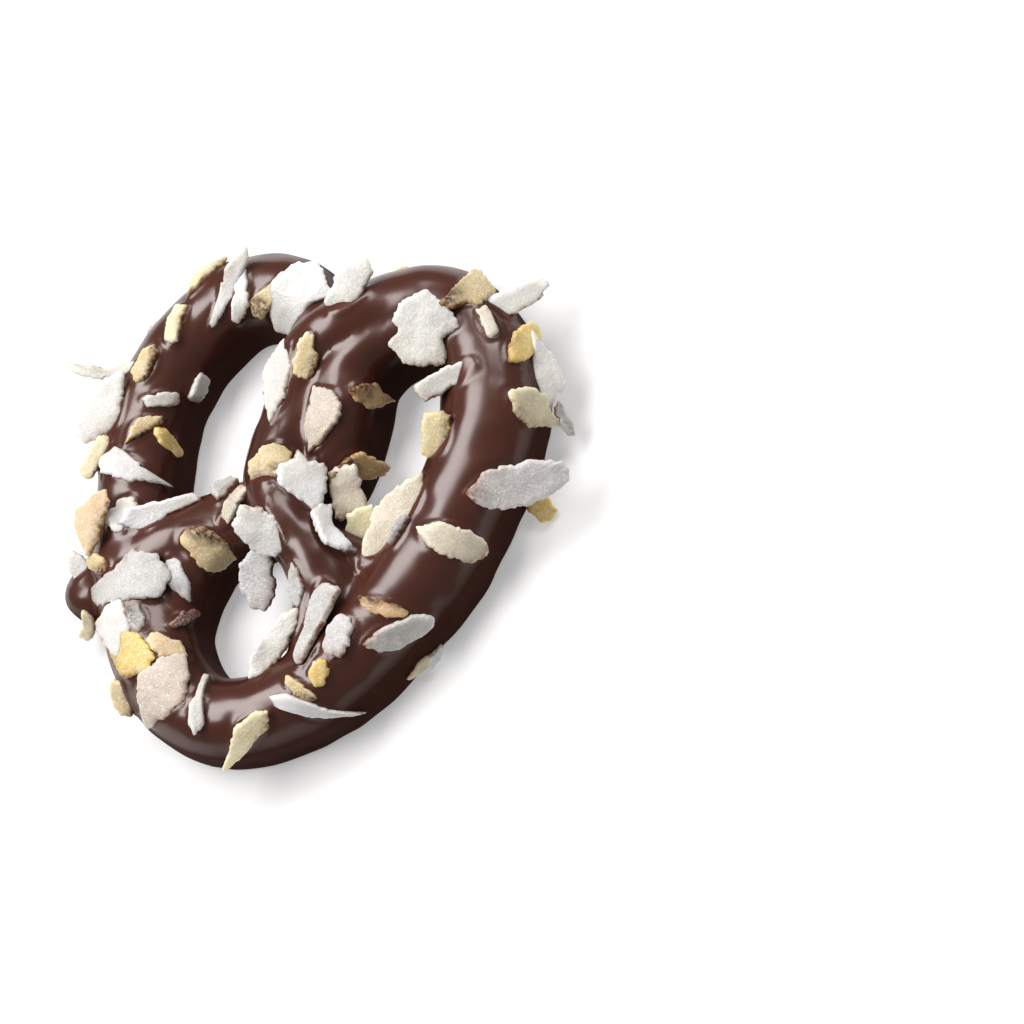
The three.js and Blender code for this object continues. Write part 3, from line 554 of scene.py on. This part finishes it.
class Sights:
    """Sight lines from the eye to the rope."""

    def __init__(self):
        vertices, faces = joined(rope_lengths(COARSE, 2))
        self.tree = BVHTree.FromPolygons(vertices.tolist(), faces.tolist())

    def hit(self, point):
        """Where the sight line through a point meets the rope, and the rope's normal there, or None."""
        place, normal, _, _ = self.tree.ray_cast(Vector(EYE), Vector(unit(point - EYE)))
        if place is None:
            return None
        normal = np.array(normal)
        return np.array(place), normal if normal @ BACK >= 0 else -normal

    def near(self, point):
        """The same, but a sight line that passes beside the rope is moved in until it meets it."""
        centres = np.array(COURSE)[:, :2]
        nearest = centres[np.argmin(np.hypot(*(centres - point[:2]).T))]
        inward = unit(np.array((*nearest, point[2])) - point)
        for step in range(60):
            found = self.hit(point + inward * step * 0.2)
            if found:
                return (*found, step * 0.2)
        raise RuntimeError("a flake is too far from the rope")


def lay(row, sights):
    """Where a flake lies: middle, the three axes, half length and width, and sag towards its ends."""
    x, y, length, width, heading, _, _, lift, rise = row[:9]
    a = math.radians(heading)
    e = RIGHT * math.cos(a) + UP * math.sin(a)
    place = np.array((x, y, PLANE)) + RIGHT * NUDGE[0] + UP * NUDGE[1]
    point, normal, moved = sights.near(place)
    middle = point
    sag = 0.0
    if moved > 0 or lift == "clear":
        line = unit(place - EYE)
        middle = EYE + line * ((point - EYE) @ line)
        along = e
        out = BACK + normal * 0.3
    else:
        reach = 0.35 * length
        ends = [sights.hit(point + e * reach * sign) for sign in (1, -1)]
        slope = np.clip(-(e @ normal) / (BACK @ normal), -1, 1)
        along = e + BACK * slope
        if all(end and np.linalg.norm(end[0] - point) < 1.7 * reach for end in ends):
            along = ends[0][0] - ends[1][0]
            drop = (2 * point - ends[0][0] - ends[1][0]) @ normal / 2
            sag = float(np.clip(drop * 2 * DRAPE, 0, 0.16 * length))
        out = normal + BACK * FACING
    along = unit(along)
    out = unit(out - along * (out @ along))
    if lift != "clear":
        along = turned(along, np.cross(out, along), -math.radians(lift))
    out = unit(out - along * (out @ along))
    across = np.cross(out, along)

    def seen(axis):
        return max(math.sqrt(1 - (axis @ BACK) ** 2), 0.75)

    middle = middle + out * ((0 if moved > 0 else PROUD) + rise)
    return {
        "middle": middle, "along": along, "across": across, "out": out, "sag": sag,
        "half": 0.49 * length / seen(along), "wide": 0.48 * width / seen(across),
    }


def far_spots():
    """Far flakes: drawn on the flanks that face away from the eye."""
    state = FAR_SEED

    def draw():
        nonlocal state
        state = (state * 1664525 + 1013904223) % 4294967296
        return state / 4294967296

    shortest, longer = FAR_LENGTHS
    first, second, third = (row / LAST for row in FAR_ROWS)
    spots = []
    for _ in range(FAR_TRIES):
        if len(spots) == FAR_FLAKES:
            break
        t = draw()
        turn = (draw() * 2 - 1) * FAR_TURN
        length = shortest + longer * draw() ** 2
        heading = (draw() - 0.5) * math.pi
        centre, ahead, width, crown = (value[0] for value in follow(COURSE, [t * LAST]))
        ahead = np.array((*ahead, 0))
        side = np.array((ahead[1], -ahead[0], 0))
        a = math.radians(turn)
        outward = side * math.sin(a) + np.array((0, 0, math.cos(a)))
        wall = WALL * crown
        middle = np.array((*centre, 0)) + side * math.sin(a) * width / 2
        middle[2] = wall + (crown - wall) * math.cos(a)
        if outward @ BACK > FAR_FACING or middle[2] < FAR_LOWEST:
            continue
        if t < first or t > third or (t > second and math.hypot(*middle[:2]) < FAR_KNOT):
            continue
        if any(np.linalg.norm(other["middle"] - middle) < FAR_SPACING for other in spots):
            continue
        along = unit(ahead * math.cos(heading) + np.cross(outward, ahead) * math.sin(heading))
        spots.append({
            "middle": middle + outward * PROUD, "along": along, "across": np.cross(outward, along),
            "out": outward, "sag": FAR_SAG, "half": length / 2, "wide": length * FAR_WIDTH / 2,
            "plan": FAR_PLANS[len(spots) % len(FAR_PLANS)], "bow": 0.0,
            "tone": FAR_TONES[len(spots) % len(FAR_TONES)], "husk": heading * 100,
        })
    return spots


def all_spots():
    """Every flake's spot, with its plan, bow, tone and husk side."""
    sights = Sights()
    near = []
    for number, row in enumerate(FLAKES, 1):
        plan, bow, tone = row[5], row[6], row[9]
        husk = row[10] if len(row) > 10 else number * HUSK_TURN % 360 - 180
        near.append({**lay(row, sights), "plan": plan, "bow": bow, "tone": tone, "husk": husk})
    return near + far_spots()


SPOTS = all_spots()

# ------------ surfaces in general


def noise(points, size, seed):
    """Smooth noise from -1 to 1: random values on a cubic lattice, size apart, blended with an ease."""
    side = 48
    lattice = np.random.default_rng(seed).uniform(-1, 1, (side, side, side))
    p = points / size
    cell = np.floor(p).astype(int)
    f = p - cell
    f = f * f * f * (f * (6 * f - 15) + 10)
    total = np.zeros(len(points))
    for corner in np.ndindex(2, 2, 2):
        weight = np.prod(np.where(corner, f, 1 - f), axis=1)
        i, j, k = ((cell + corner) % side).T
        total += weight * lattice[i, j, k]
    return total


def surface(name, points, faces):
    """A smooth-shaded mesh object from points in millimetres and equal-sided faces."""
    mesh = bpy.data.meshes.new(name)
    sides = faces.shape[1]
    mesh.vertices.add(len(points))
    mesh.vertices.foreach_set("co", ((points - CENTRE) * MM).astype(np.float32).ravel())
    mesh.loops.add(faces.size)
    mesh.loops.foreach_set("vertex_index", faces.astype(np.int32).ravel())
    mesh.polygons.add(len(faces))
    mesh.polygons.foreach_set("loop_start", np.arange(0, faces.size, sides, dtype=np.int32))
    mesh.polygons.foreach_set("use_smooth", np.ones(len(faces), bool))
    mesh.update(calc_edges=True)
    piece = bpy.data.objects.new(name, mesh)
    bpy.context.scene.collection.objects.link(piece)
    return piece


def points_of(mesh):
    """A mesh's vertices in millimetres, in the frame of the driving dimensions."""
    flat = np.empty(len(mesh.vertices) * 3, np.float32)
    mesh.vertices.foreach_get("co", flat)
    return flat.reshape(-1, 3).astype(float) / MM + CENTRE


def normals_of(mesh):
    flat = np.empty(len(mesh.vertices) * 3, np.float32)
    mesh.vertex_normals.foreach_get("vector", flat)
    return flat.reshape(-1, 3).astype(float)


def set_points(mesh, points):
    mesh.vertices.foreach_set("co", ((points - CENTRE) * MM).astype(np.float32).ravel())
    mesh.update()


def set_values(mesh, name, values):
    attribute = mesh.attributes.new(name, "FLOAT", "POINT")
    attribute.data.foreach_set("value", values.astype(np.float32))


def set_colours(mesh, name, colours):
    attribute = mesh.attributes.new(name, "FLOAT_COLOR", "POINT")
    flat = np.hstack((colours, np.ones((len(colours), 1)))).astype(np.float32)
    attribute.data.foreach_set("color", flat.ravel())


def relaxed(points, edges, times):
    """Moves every point half way to the mean of its neighbours, times over."""
    a, b = edges.T
    n = len(points)
    counts = np.bincount(edges.ravel(), minlength=n)[:, None]
    for _ in range(times):
        sums = np.stack([
            np.bincount(a, points[b, k], n) + np.bincount(b, points[a, k], n) for k in range(3)], 1)
        points = (points + sums / counts) / 2
    return points


# ------------ the chocolate coat

RINGS_PER_ROW = 6
EASINGS = 14          # times that the melted coat is smoothed
BESIDE = 2.5          # how far past a flake's half length the coat still notices it
UNDERSIDE = 0.55      # share of its thickness that lies on either side of a flake's middle plane
THIN_REACH = 0.16     # width of the thin, redder line beside a flake
CLIMB_REACH = 0.25    # width of the raised edge of coat beside a flake

def beside_flakes(points):
    """Distance in millimetres from each point to the nearest flake, 0 under it.

    In a flake's own plane it is how much further from the middle the point lies than the rim in
    the same direction, and across that plane it is the distance from the flake's faces.
    """
    nearest = np.full(len(points), 9.0)
    for spot in SPOTS:
        away = points - spot["middle"]
        close = np.flatnonzero(np.linalg.norm(away, axis=1) < spot["half"] + BESIDE)
        away = away[close]
        u = away @ spot["along"]
        x = u / spot["half"]
        v = away @ spot["across"] - spot["bow"] * 2 * spot["half"] * (x ** 2 - 0.33)
        rim = rim_of(spot, 0.3)
        around = np.arctan2(rim[:, 1], rim[:, 0])
        edge = np.interp(np.arctan2(v, u), around, np.hypot(*rim.T), period=math.tau)
        level = away @ spot["out"] + spot["sag"] * x ** 2
        flat = np.maximum(np.hypot(u, v) - edge, 0)
        gap = np.maximum(np.abs(level) - THICKNESS * UNDERSIDE, 0)
        nearest[close] = np.minimum(nearest[close], np.hypot(flat, gap))
    return nearest


def coat_surface(settings):
    """The coat: rope and pools melted together, with slow ripples and a meniscus round each flake."""
    rough = surface("chocolate_coat", *joined(rope_lengths(FINE, RINGS_PER_ROW)))
    melt = rough.modifiers.new("melt", "REMESH")
    melt.mode = "VOXEL"
    melt.voxel_size = settings.mesh_size
    melt.use_smooth_shade = True
    depsgraph = bpy.context.evaluated_depsgraph_get()
    mesh = bpy.data.meshes.new_from_object(rough.evaluated_get(depsgraph))
    rough.modifiers.clear()
    rough.data = mesh
    mesh.name = "chocolate_coat"

    edges = np.empty(len(mesh.edges) * 2, np.int32)
    mesh.edges.foreach_get("vertices", edges)
    points = relaxed(points_of(mesh), edges.reshape(-1, 2), EASINGS)
    set_points(mesh, points)
    normals = normals_of(mesh)
    distance = beside_flakes(points)
    climb = np.exp(-((distance - 0.1) / CLIMB_REACH) ** 2)
    height = settings.meniscus / MM * climb
    waves = noise(points, 5.5, 1) + 0.6 * noise(points, 2.3, 2)
    height += settings.ripple / MM * waves * (0.3 + 0.7 * np.clip(distance, 0, 1))
    points = points + normals * height[:, None]
    points[:, 2] = np.maximum(points[:, 2], 0)
    set_points(mesh, points)
    set_values(mesh, "thin", np.exp(-(np.maximum(distance - 0.02, 0) / THIN_REACH) ** 2))
    # flank marks the low, steep walls. The chocolate's colour is darkened there as painted shade, and the
    # walls are made rougher and less glossy.
    steep = np.clip(1 - normals[:, 2] / 0.8, 0, 1)
    low = np.clip((7.5 - points[:, 2]) / 3, 0, 1)
    set_values(mesh, "flank", steep * low)
    return rough


# ------------ shader maths


class Shader:
    """A material's nodes. Any node comes from node(), and a socket in an expression is a Wire."""

    def __init__(self, name):
        self.material = bpy.data.materials.new(name)
        self.material.use_nodes = True
        self.tree = self.material.node_tree
        self.tree.nodes.clear()

    def node(self, kind, settings=None, **values):
        """Makes a node: settings first, then its sockets' values or links, by name with _ for a space."""
        made = self.tree.nodes.new(kind)
        for name, value in (settings or {}).items():
            setattr(made, name, value)
        for name, value in values.items():
            key = int(name[1:]) if name[1:].isdigit() else name.replace("_", " ")
            self.put(made.inputs[key], value)
        return made

    def put(self, socket, value):
        if isinstance(value, Wire):
            self.tree.links.new(value.socket, socket)
        elif hasattr(socket.default_value, "__len__") and len(value) < len(socket.default_value):
            socket.default_value = (*value, 1)
        else:
            socket.default_value = value

    def wire(self, kind, settings=None, output=0, **values):
        return Wire(self, self.node(kind, settings, **values).outputs[output])

    def place(self):
        """Object coordinates in millimetres."""
        metres = self.wire("ShaderNodeTexCoord", output="Object")
        return self.wire("ShaderNodeVectorMath", {"operation": "SCALE"}, _0=metres, Scale=1 / MM)

    def attribute(self, name, output="Fac"):
        return self.wire("ShaderNodeAttribute", {"attribute_name": name}, output)

    def speckle(self, place, size, detail=2.0, roughness=0.5):
        """Noise from 0 to 1 with features of that size in millimetres."""
        return self.wire("ShaderNodeTexNoise", {"noise_dimensions": "3D"}, "Fac", Vector=place,
                         Scale=1 / size, Detail=detail, Roughness=roughness)

    def mix(self, share, a, b):
        """Colour a turned into colour b by a share from 0 to 1."""
        made = self.node("ShaderNodeMix", {"data_type": "RGBA", "clamp_factor": True})
        self.put(made.inputs[0], share)
        self.put(made.inputs[6], a)
        self.put(made.inputs[7], b)
        return Wire(self, made.outputs[2])

    def bump(self, height, distance, strength):
        return self.wire("ShaderNodeBump", Height=height, Distance=distance, Strength=strength)

    def finish(self, **values):
        """The principled surface, with constants on its own sockets."""
        surface_node = self.node("ShaderNodeBsdfPrincipled", None, **values)
        self.node("ShaderNodeOutputMaterial", None, Surface=Wire(self, surface_node.outputs[0]))
        return self.material


class Wire:
    """A number socket that can stand in an expression."""

    def __init__(self, shader, socket):
        self.shader, self.socket = shader, socket

    def maths(self, operation, *others, clamp=False):
        values = {f"_{i}": value for i, value in enumerate((self, *others))}
        return self.shader.wire("ShaderNodeMath", {"operation": operation, "use_clamp": clamp}, **values)

    def __add__(self, other):
        return self.maths("ADD", other)

    __radd__ = __add__

    def __mul__(self, other):
        return self.maths("MULTIPLY", other)

    __rmul__ = __mul__

    def __sub__(self, other):
        return self.maths("SUBTRACT", other)

    def __rsub__(self, other):
        return self.maths("MULTIPLY", -1.0).maths("ADD", other)

    def between(self, low, high):
        """0 at low, 1 at high, straight in between and clamped outside."""
        return ((self - low) * (1 / (high - low))).maths("ADD", 0.0, clamp=True)


# ------------ materials


def chocolate(settings):
    """Satin dark chocolate: slow colour drifts, a redder line where it is thin, a faint skin texture, and
    painted shade that darkens the low, steep flanks.
    """
    s = Shader("dark_chocolate")
    place = s.place()
    drift = s.speckle(place, 6.0, 3.0)
    thin = s.attribute("thin") * s.speckle(place, 0.7, 2.0).between(0.42, 0.62)
    flank = s.attribute("flank")
    dark = tuple(settings.dark)
    light = tuple(min(1.0, 1.25 * c) for c in dark)
    # Painted shade: a much darker brown that the low, steep flanks are mixed towards.
    painted_flank_shade = tuple(0.3 * c for c in dark)
    colour = s.mix(drift.between(0.35, 0.7), dark, light)
    colour = s.mix(flank * 0.6, colour, painted_flank_shade)
    colour = s.mix(thin * 0.35, colour, tuple(settings.thin))
    skin = s.speckle(place, 0.9, 4.0, 0.55) * 0.7 + s.speckle(place, 0.25, 2.0) * 0.3
    roughness = 0.36 + flank * 0.4 + s.speckle(place, 1.1, 3.0) * 0.08
    return s.finish(
        Base_Color=colour, Roughness=roughness, IOR=1.45, Specular_IOR_Level=0.12,
        Specular_Tint=(1, 0.86, 0.82), Coat_Weight=1 - (flank * 1.6).between(0, 1), Coat_Roughness=0.23,
        Coat_IOR=1.62, Normal=s.bump(skin, 0.05 * MM, 0.4))


def coconut(name, settings, roughness):
    """Frosty dried flesh: mottled and sugary, with husk dust on one side, a stain where it was soaked, and
    fine pale specks painted as glints.
    """
    s = Shader(name)
    place = s.place()
    tone = s.attribute("tone", "Color")
    frost = s.speckle(place, 0.7, 4.0, 0.6).between(0.42, 0.7) * 0.4
    colour = s.mix(frost, tone, s.mix(0.6, tone, (0.88, 0.87, 0.84)))
    shade = s.speckle(place, 1.6, 3.0, 0.6).between(0.5, 0.75) * 0.3
    colour = s.mix(shade, colour, s.mix(0.5, tone, (0.42, 0.38, 0.34)))
    # Painted glints: fine pale specks mixed into the colour where the small noise peaks.
    colour = s.mix(s.speckle(place, 0.17, 2.0, 0.6).between(0.54, 0.68) * 0.6, colour, (0.93, 0.93, 0.92))
    dust = s.attribute("dust") * s.speckle(place, 0.34, 3.0, 0.65).between(0.3, 0.6)
    colour = s.mix(dust, colour, tuple(settings.dust))
    colour = s.mix(s.attribute("soaked") * s.speckle(place, 0.5, 3.0).between(0.4, 0.6), colour,
                   tuple(settings.stain))
    grains = s.wire("ShaderNodeTexVoronoi", {"feature": "F1", "distance": "EUCLIDEAN"}, "Distance",
                    Vector=place, Scale=1 / 0.24)
    height = (1 - grains) * 0.8 + s.speckle(place, 0.11, 2.0, 0.6) * 0.5
    return s.finish(
        Base_Color=colour, Roughness=roughness, IOR=1.4, Specular_IOR_Level=0.5,
        Subsurface_Weight=0.85, Subsurface_Radius=(1.0, 0.9, 0.75), Subsurface_Scale=0.6 * MM,
        Normal=s.bump(height, 0.07 * MM, 0.7))


# ------------ the flakes


def rim_of(spot, spacing):
    """Rim of a flake's plan in millimetres: its outline walked at even steps, with the corners eased.

    Each step's point is the mean of the outline's points over the easing length round it.
    """
    corners = np.array(PLANS[spot["plan"]]) * (spot["half"], spot["wide"])
    closed = np.vstack((corners, corners[:1]))
    walked = np.concatenate(((0,), np.cumsum(np.hypot(*np.diff(closed, axis=0).T))))
    turns = max(24, round(walked[-1] / spacing))
    at = np.arange(turns) / turns * walked[-1]
    rim = np.stack([np.interp(at, walked, closed[:, k]) for k in range(2)], 1)
    reach = max(1, round(EASING / spacing / 2))
    return np.mean([np.roll(rim, step, axis=0) for step in range(-reach, reach + 1)], axis=0)


def flake_grid(spot, number, settings):
    """One flake as a grid of turns by rings: rings run from the top's middle over the rim to the underside.

    A point is r times the rim, r being 0 in the middle and 1 at the rim, and its height is half
    the thickness times the root of 1 - r^10, so both faces are flat and the edge is hardly rounded.
    Slow noise then dents the whole flake.
    """
    size = settings.mesh_size / MM
    half, wide = spot["half"], spot["wide"]
    rim = rim_of(spot, size)
    turns = len(rim)
    steps = max(5, round(1.1 * wide / size))
    seat = np.hstack((rim, np.zeros((turns, 1)))) + (number * 7.3, 0, 0)
    run = noise(seat, 1.3, 11) * 0.8 + noise(seat, 0.55, 12) * 0.9 + noise(seat, 0.27, 13) * 0.7
    grow = 1 + settings.ragged / MM * run / np.maximum(np.hypot(*rim.T), 0.5)

    climb = np.sin(np.linspace(0, math.pi / 2, steps + 1)[1:])
    radii = np.concatenate((climb, climb[-2::-1]))
    level = np.sqrt(np.maximum(1 - radii ** 10, 0)) * np.where(np.arange(len(radii)) < steps, 1, -1)
    radii, level = (np.concatenate(((0,), values, (0,))) for values in (radii, level))
    level[[0, -1]] = 1, -1

    u = radii[:, None] * (rim[:, 0] * grow)[None]
    v = radii[:, None] * (rim[:, 1] * grow)[None]
    x = u / half
    thick = THICKNESS / 2 * (0.8 + 0.2 * np.sqrt(np.maximum(1 - x ** 2, 0)))
    w = level[:, None] * thick - spot["sag"] * x ** 2
    local = np.stack((u, v + spot["bow"] * 2 * half * (x ** 2 - 0.33), w), 2).reshape(-1, 3)
    flat = local * (1, 1, 0) + (number * 5.1, 3, 0)
    local[:, 2] += noise(flat, 2.2, 14) * 0.16 - np.abs(noise(flat, 2.6, 15)) * 0.12
    axes = np.stack((spot["along"], spot["across"], spot["out"]))
    points = spot["middle"] + local @ axes
    points[:, 2] = np.maximum(points[:, 2], 0.05)

    rows = len(radii)
    i, j = np.meshgrid(np.arange(rows - 1), np.arange(turns), indexing="ij")
    a = (i * turns + j).ravel()
    b = (i * turns + (j + 1) % turns).ravel()
    quads = np.stack((a, a + turns, b + turns, b), 1)
    side = math.radians(spot["husk"])
    husk = (u / half * math.cos(side) + v / wide * math.sin(side)).ravel()
    return points, quads, np.repeat(radii, turns), np.repeat(level, turns), husk


def flakes_surface(name, settings):
    """All flakes of one kind as one mesh, with lumps all over, each flake's tone and dust, and a painted
    glow along each rim.
    """
    points, faces, colours, dusts, soaked = [], [], [], [], []
    start = 0
    draw = np.random.default_rng(5)
    for number, spot in enumerate(SPOTS):
        kind, colour, dusty = TONES[spot["tone"]]
        jitter = draw.uniform(-1, 1, 3)
        if kind != name:
            continue
        at, quads, rims, level, husk = flake_grid(spot, number, settings)
        shade = 1 + 0.04 * jitter[0] + 0.07 * noise(at, 1.6, 21)
        # Painted light: a narrow band along each flake's rim is made lighter as a glow through the thin
        # edge, and the rest of the flake slightly darker.
        brink = np.clip(1 - (1 - rims) * spot["wide"] / 0.35, 0, 1)
        shade *= 0.88 + 0.2 * brink
        drift = (1, 1 + 0.01 * jitter[1], 1 + 0.03 * jitter[2])
        tone = np.clip(np.array(colour) * shade[:, None] * drift, 0, 1)
        patch = np.clip(husk * 2 - 1.1 + dusty + noise(at, 1.1, 22) * 0.8, 0, 1)
        # Each flake is made darker and browner towards its husk side.
        husk_side_darkening = np.clip(0.35 + husk * 0.6 + noise(at, 1.4, 24) * 0.4, 0, 1)
        tone = tone * (1 - husk_side_darkening[:, None] * (0.09, 0.12, 0.18))
        points.append(at)
        faces.append(quads + start)
        colours.append(tone)
        dusts.append(dusty * patch)
        soaked.append(brink * np.clip(husk * 1.6 - 0.5 - level * 0.2 + noise(at, 0.8, 23) * 0.9, 0, 1))
        start += len(at)
    points, faces = np.vstack(points), np.vstack(faces)
    piece = surface(name, points, faces)
    mesh = piece.data
    set_colours(mesh, "tone", np.vstack(colours))
    set_values(mesh, "dust", np.concatenate(dusts))
    set_values(mesh, "soaked", np.concatenate(soaked))
    weld(piece)
    mesh = piece.data
    points = points_of(mesh)
    lumps = noise(points, 1.2, 31) * 0.7 + noise(points, 0.5, 32) * 0.35 + noise(points, 0.26, 33) * 0.4
    set_points(mesh, points + normals_of(mesh) * (settings.grain / MM * lumps)[:, None])
    return piece


def weld(piece):
    """Merges the coinciding points in the middle of each flake's two faces."""
    step = piece.modifiers.new("weld", "WELD")
    step.merge_threshold = 0.001 * MM
    depsgraph = bpy.context.evaluated_depsgraph_get()
    mesh = bpy.data.meshes.new_from_object(piece.evaluated_get(depsgraph))
    piece.modifiers.clear()
    piece.data = mesh


# ------------ stage

FLOOR_REACH = 900.0
MID_HEIGHT = 4.0
# Name, direction as shares of the picture's right, up and back, distance and size in metres, share of
# the key light's power, and colour.
LIGHTS = (
    ("key_light", (-0.64, 0.36, 0.64), 0.45, (0.21, 0.42), 1, (1, 0.98, 0.97)),
    ("top_light", (0.05, 0.84, 0.52), 0.45, (0.24, 0.14), 0.28, (1, 0.98, 0.97)),
    ("rim_light", (0.8, 0.35, -0.1), 0.5, (0.3, 0.2), 0.22, (1, 0.97, 0.95)),
)
LENS, SENSOR = 100.0, 36.0
NEAREST, FURTHEST = 0.01, 10
GAMMA = 0.88


def floor_material(settings):
    s = Shader("pale_floor")
    cloud = s.speckle(s.place(), 90.0, 2.0)
    colour = s.mix(cloud * 0.04, tuple(settings.floor), (0.5, 0.5, 0.5))
    return s.finish(
        Base_Color=colour, Roughness=0.6, Emission_Color=(1, 1, 1), Emission_Strength=settings.glow)


def aim(thing, place):
    """Puts a light at a place in metres, facing the pretzel, with the picture's up upright."""
    back = (Vector(place) - Vector((0, 0, MID_HEIGHT * MM))).normalized()
    right = Vector(UP).cross(back).normalized()
    turn = Matrix((right, back.cross(right), back)).transposed()
    thing.matrix_world = Matrix.Translation(Vector(place)) @ turn.to_4x4()


def soft_light(name, place, size, power, colour):
    light = bpy.data.lights.new(name, "AREA")
    light.shape = "RECTANGLE"
    light.size, light.size_y = size
    light.energy = power
    light.color = colour
    thing = bpy.data.objects.new(name, light)
    bpy.context.scene.collection.objects.link(thing)
    aim(thing, place)


# ------------ operators


class PRETZEL_OT_coat(bpy.types.Operator):
    """Makes the chocolate coat of the whole pretzel"""

    bl_idname = "pretzel.coat"
    bl_label = "Chocolate coat"

    def execute(self, context):
        settings = context.scene.pretzel_coat
        coat = coat_surface(settings)
        coat.data.materials.clear()
        coat.data.materials.append(chocolate(settings))
        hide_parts("covered_pretzel")
        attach(coat, "root")
        return {"FINISHED"}


class PRETZEL_OT_coconut_flakes(bpy.types.Operator):
    """Makes the white flakes that are set in the coat"""

    bl_idname = "pretzel.coconut_flakes"
    bl_label = "Coconut flakes"

    def execute(self, context):
        settings = context.scene.pretzel_flakes
        flakes = flakes_surface("coconut_flakes", settings)
        flakes.data.materials.append(coconut("coconut_white", settings, 0.36))
        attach(flakes, "root")
        return {"FINISHED"}


class PRETZEL_OT_golden_chips(bpy.types.Operator):
    """Makes the golden, amber and brown chips that are set in the coat"""

    bl_idname = "pretzel.golden_chips"
    bl_label = "Golden chips"

    def execute(self, context):
        settings = context.scene.pretzel_flakes
        chips = flakes_surface("golden_chips", settings)
        chips.data.materials.append(coconut("golden_chip", settings, 0.38))
        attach(chips, "root")
        return {"FINISHED"}


class PRETZEL_OT_stage(bpy.types.Operator):
    """Makes the pale floor, the soft lights and the camera"""

    bl_idname = "pretzel.stage"
    bl_label = "Stage"

    def execute(self, context):
        settings = context.scene.pretzel_stage
        scene = context.scene
        square = np.array(((-1, -1, 0), (1, -1, 0), (1, 1, 0), (-1, 1, 0)))
        floor = surface("pale_floor", square * FLOOR_REACH + CENTRE, np.array(((0, 1, 2, 3),)))
        floor.data.materials.append(floor_material(settings))
        floor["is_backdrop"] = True

        world = bpy.data.worlds.new("soft_room")
        world.use_nodes = True
        world.node_tree.nodes["Background"].inputs["Color"].default_value = (1, 1, 1, 1)
        world.node_tree.nodes["Background"].inputs["Strength"].default_value = settings.sky
        scene.world = world
        for name, (right, up, back), distance, size, share, colour in LIGHTS:
            place = unit(RIGHT * right + UP * up + BACK * back) * distance
            soft_light(name, place, size, settings.key * share, colour)

        camera = bpy.data.cameras.new("camera")
        camera.lens, camera.sensor_width = LENS, SENSOR
        camera.clip_start, camera.clip_end = NEAREST, FURTHEST
        view = bpy.data.objects.new("camera", camera)
        scene.collection.objects.link(view)
        turn = Matrix((RIGHT, UP, BACK)).transposed()
        view.matrix_world = Matrix.Translation(Vector((EYE - CENTRE) * MM)) @ turn.to_4x4()
        scene.camera = view
        scene.view_settings.view_transform = "Standard"
        scene.view_settings.gamma = GAMMA
        return {"FINISHED"}


class PRETZEL_PT_panel(bpy.types.Panel):
    bl_idname = "PRETZEL_PT_panel"
    bl_label = "Chocolate-covered pretzel"
    bl_space_type = "VIEW_3D"
    bl_region_type = "UI"
    bl_category = "Pretzel"

    def draw(self, context):
        for group, settings, operators in (
            ("Coat", context.scene.pretzel_coat, (PRETZEL_OT_coat,)),
            ("Flakes", context.scene.pretzel_flakes, (PRETZEL_OT_coconut_flakes, PRETZEL_OT_golden_chips)),
            ("Stage", context.scene.pretzel_stage, (PRETZEL_OT_stage,)),
        ):
            box = self.layout.box()
            box.label(text=group)
            for name in settings.__annotations__:
                box.prop(settings, name)
            for operator in operators:
                box.operator(operator.bl_idname)


SETTINGS = {"pretzel_coat": CoatSettings, "pretzel_flakes": FlakeSettings, "pretzel_stage": StageSettings}
CLASSES = (
    *SETTINGS.values(), PRETZEL_OT_coat, PRETZEL_OT_coconut_flakes, PRETZEL_OT_golden_chips,
    PRETZEL_OT_stage, PRETZEL_PT_panel,
)


def register():
    for cls in CLASSES:
        bpy.utils.register_class(cls)
    for name, group in SETTINGS.items():
        setattr(bpy.types.Scene, name, bpy.props.PointerProperty(type=group))


def unregister():
    for name in SETTINGS:
        delattr(bpy.types.Scene, name)
    for cls in reversed(CLASSES):
        bpy.utils.unregister_class(cls)


def corners():
    """The object's box as plain lists."""
    return [list(corner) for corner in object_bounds()]


def main():
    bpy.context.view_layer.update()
    register()
    bpy.ops.pretzel.stage()
    bpy.ops.pretzel.coat()
    bpy.ops.pretzel.coconut_flakes()
    bpy.ops.pretzel.golden_chips()
    bpy.context.view_layer.update()


if __name__ == "__main__":
    main()
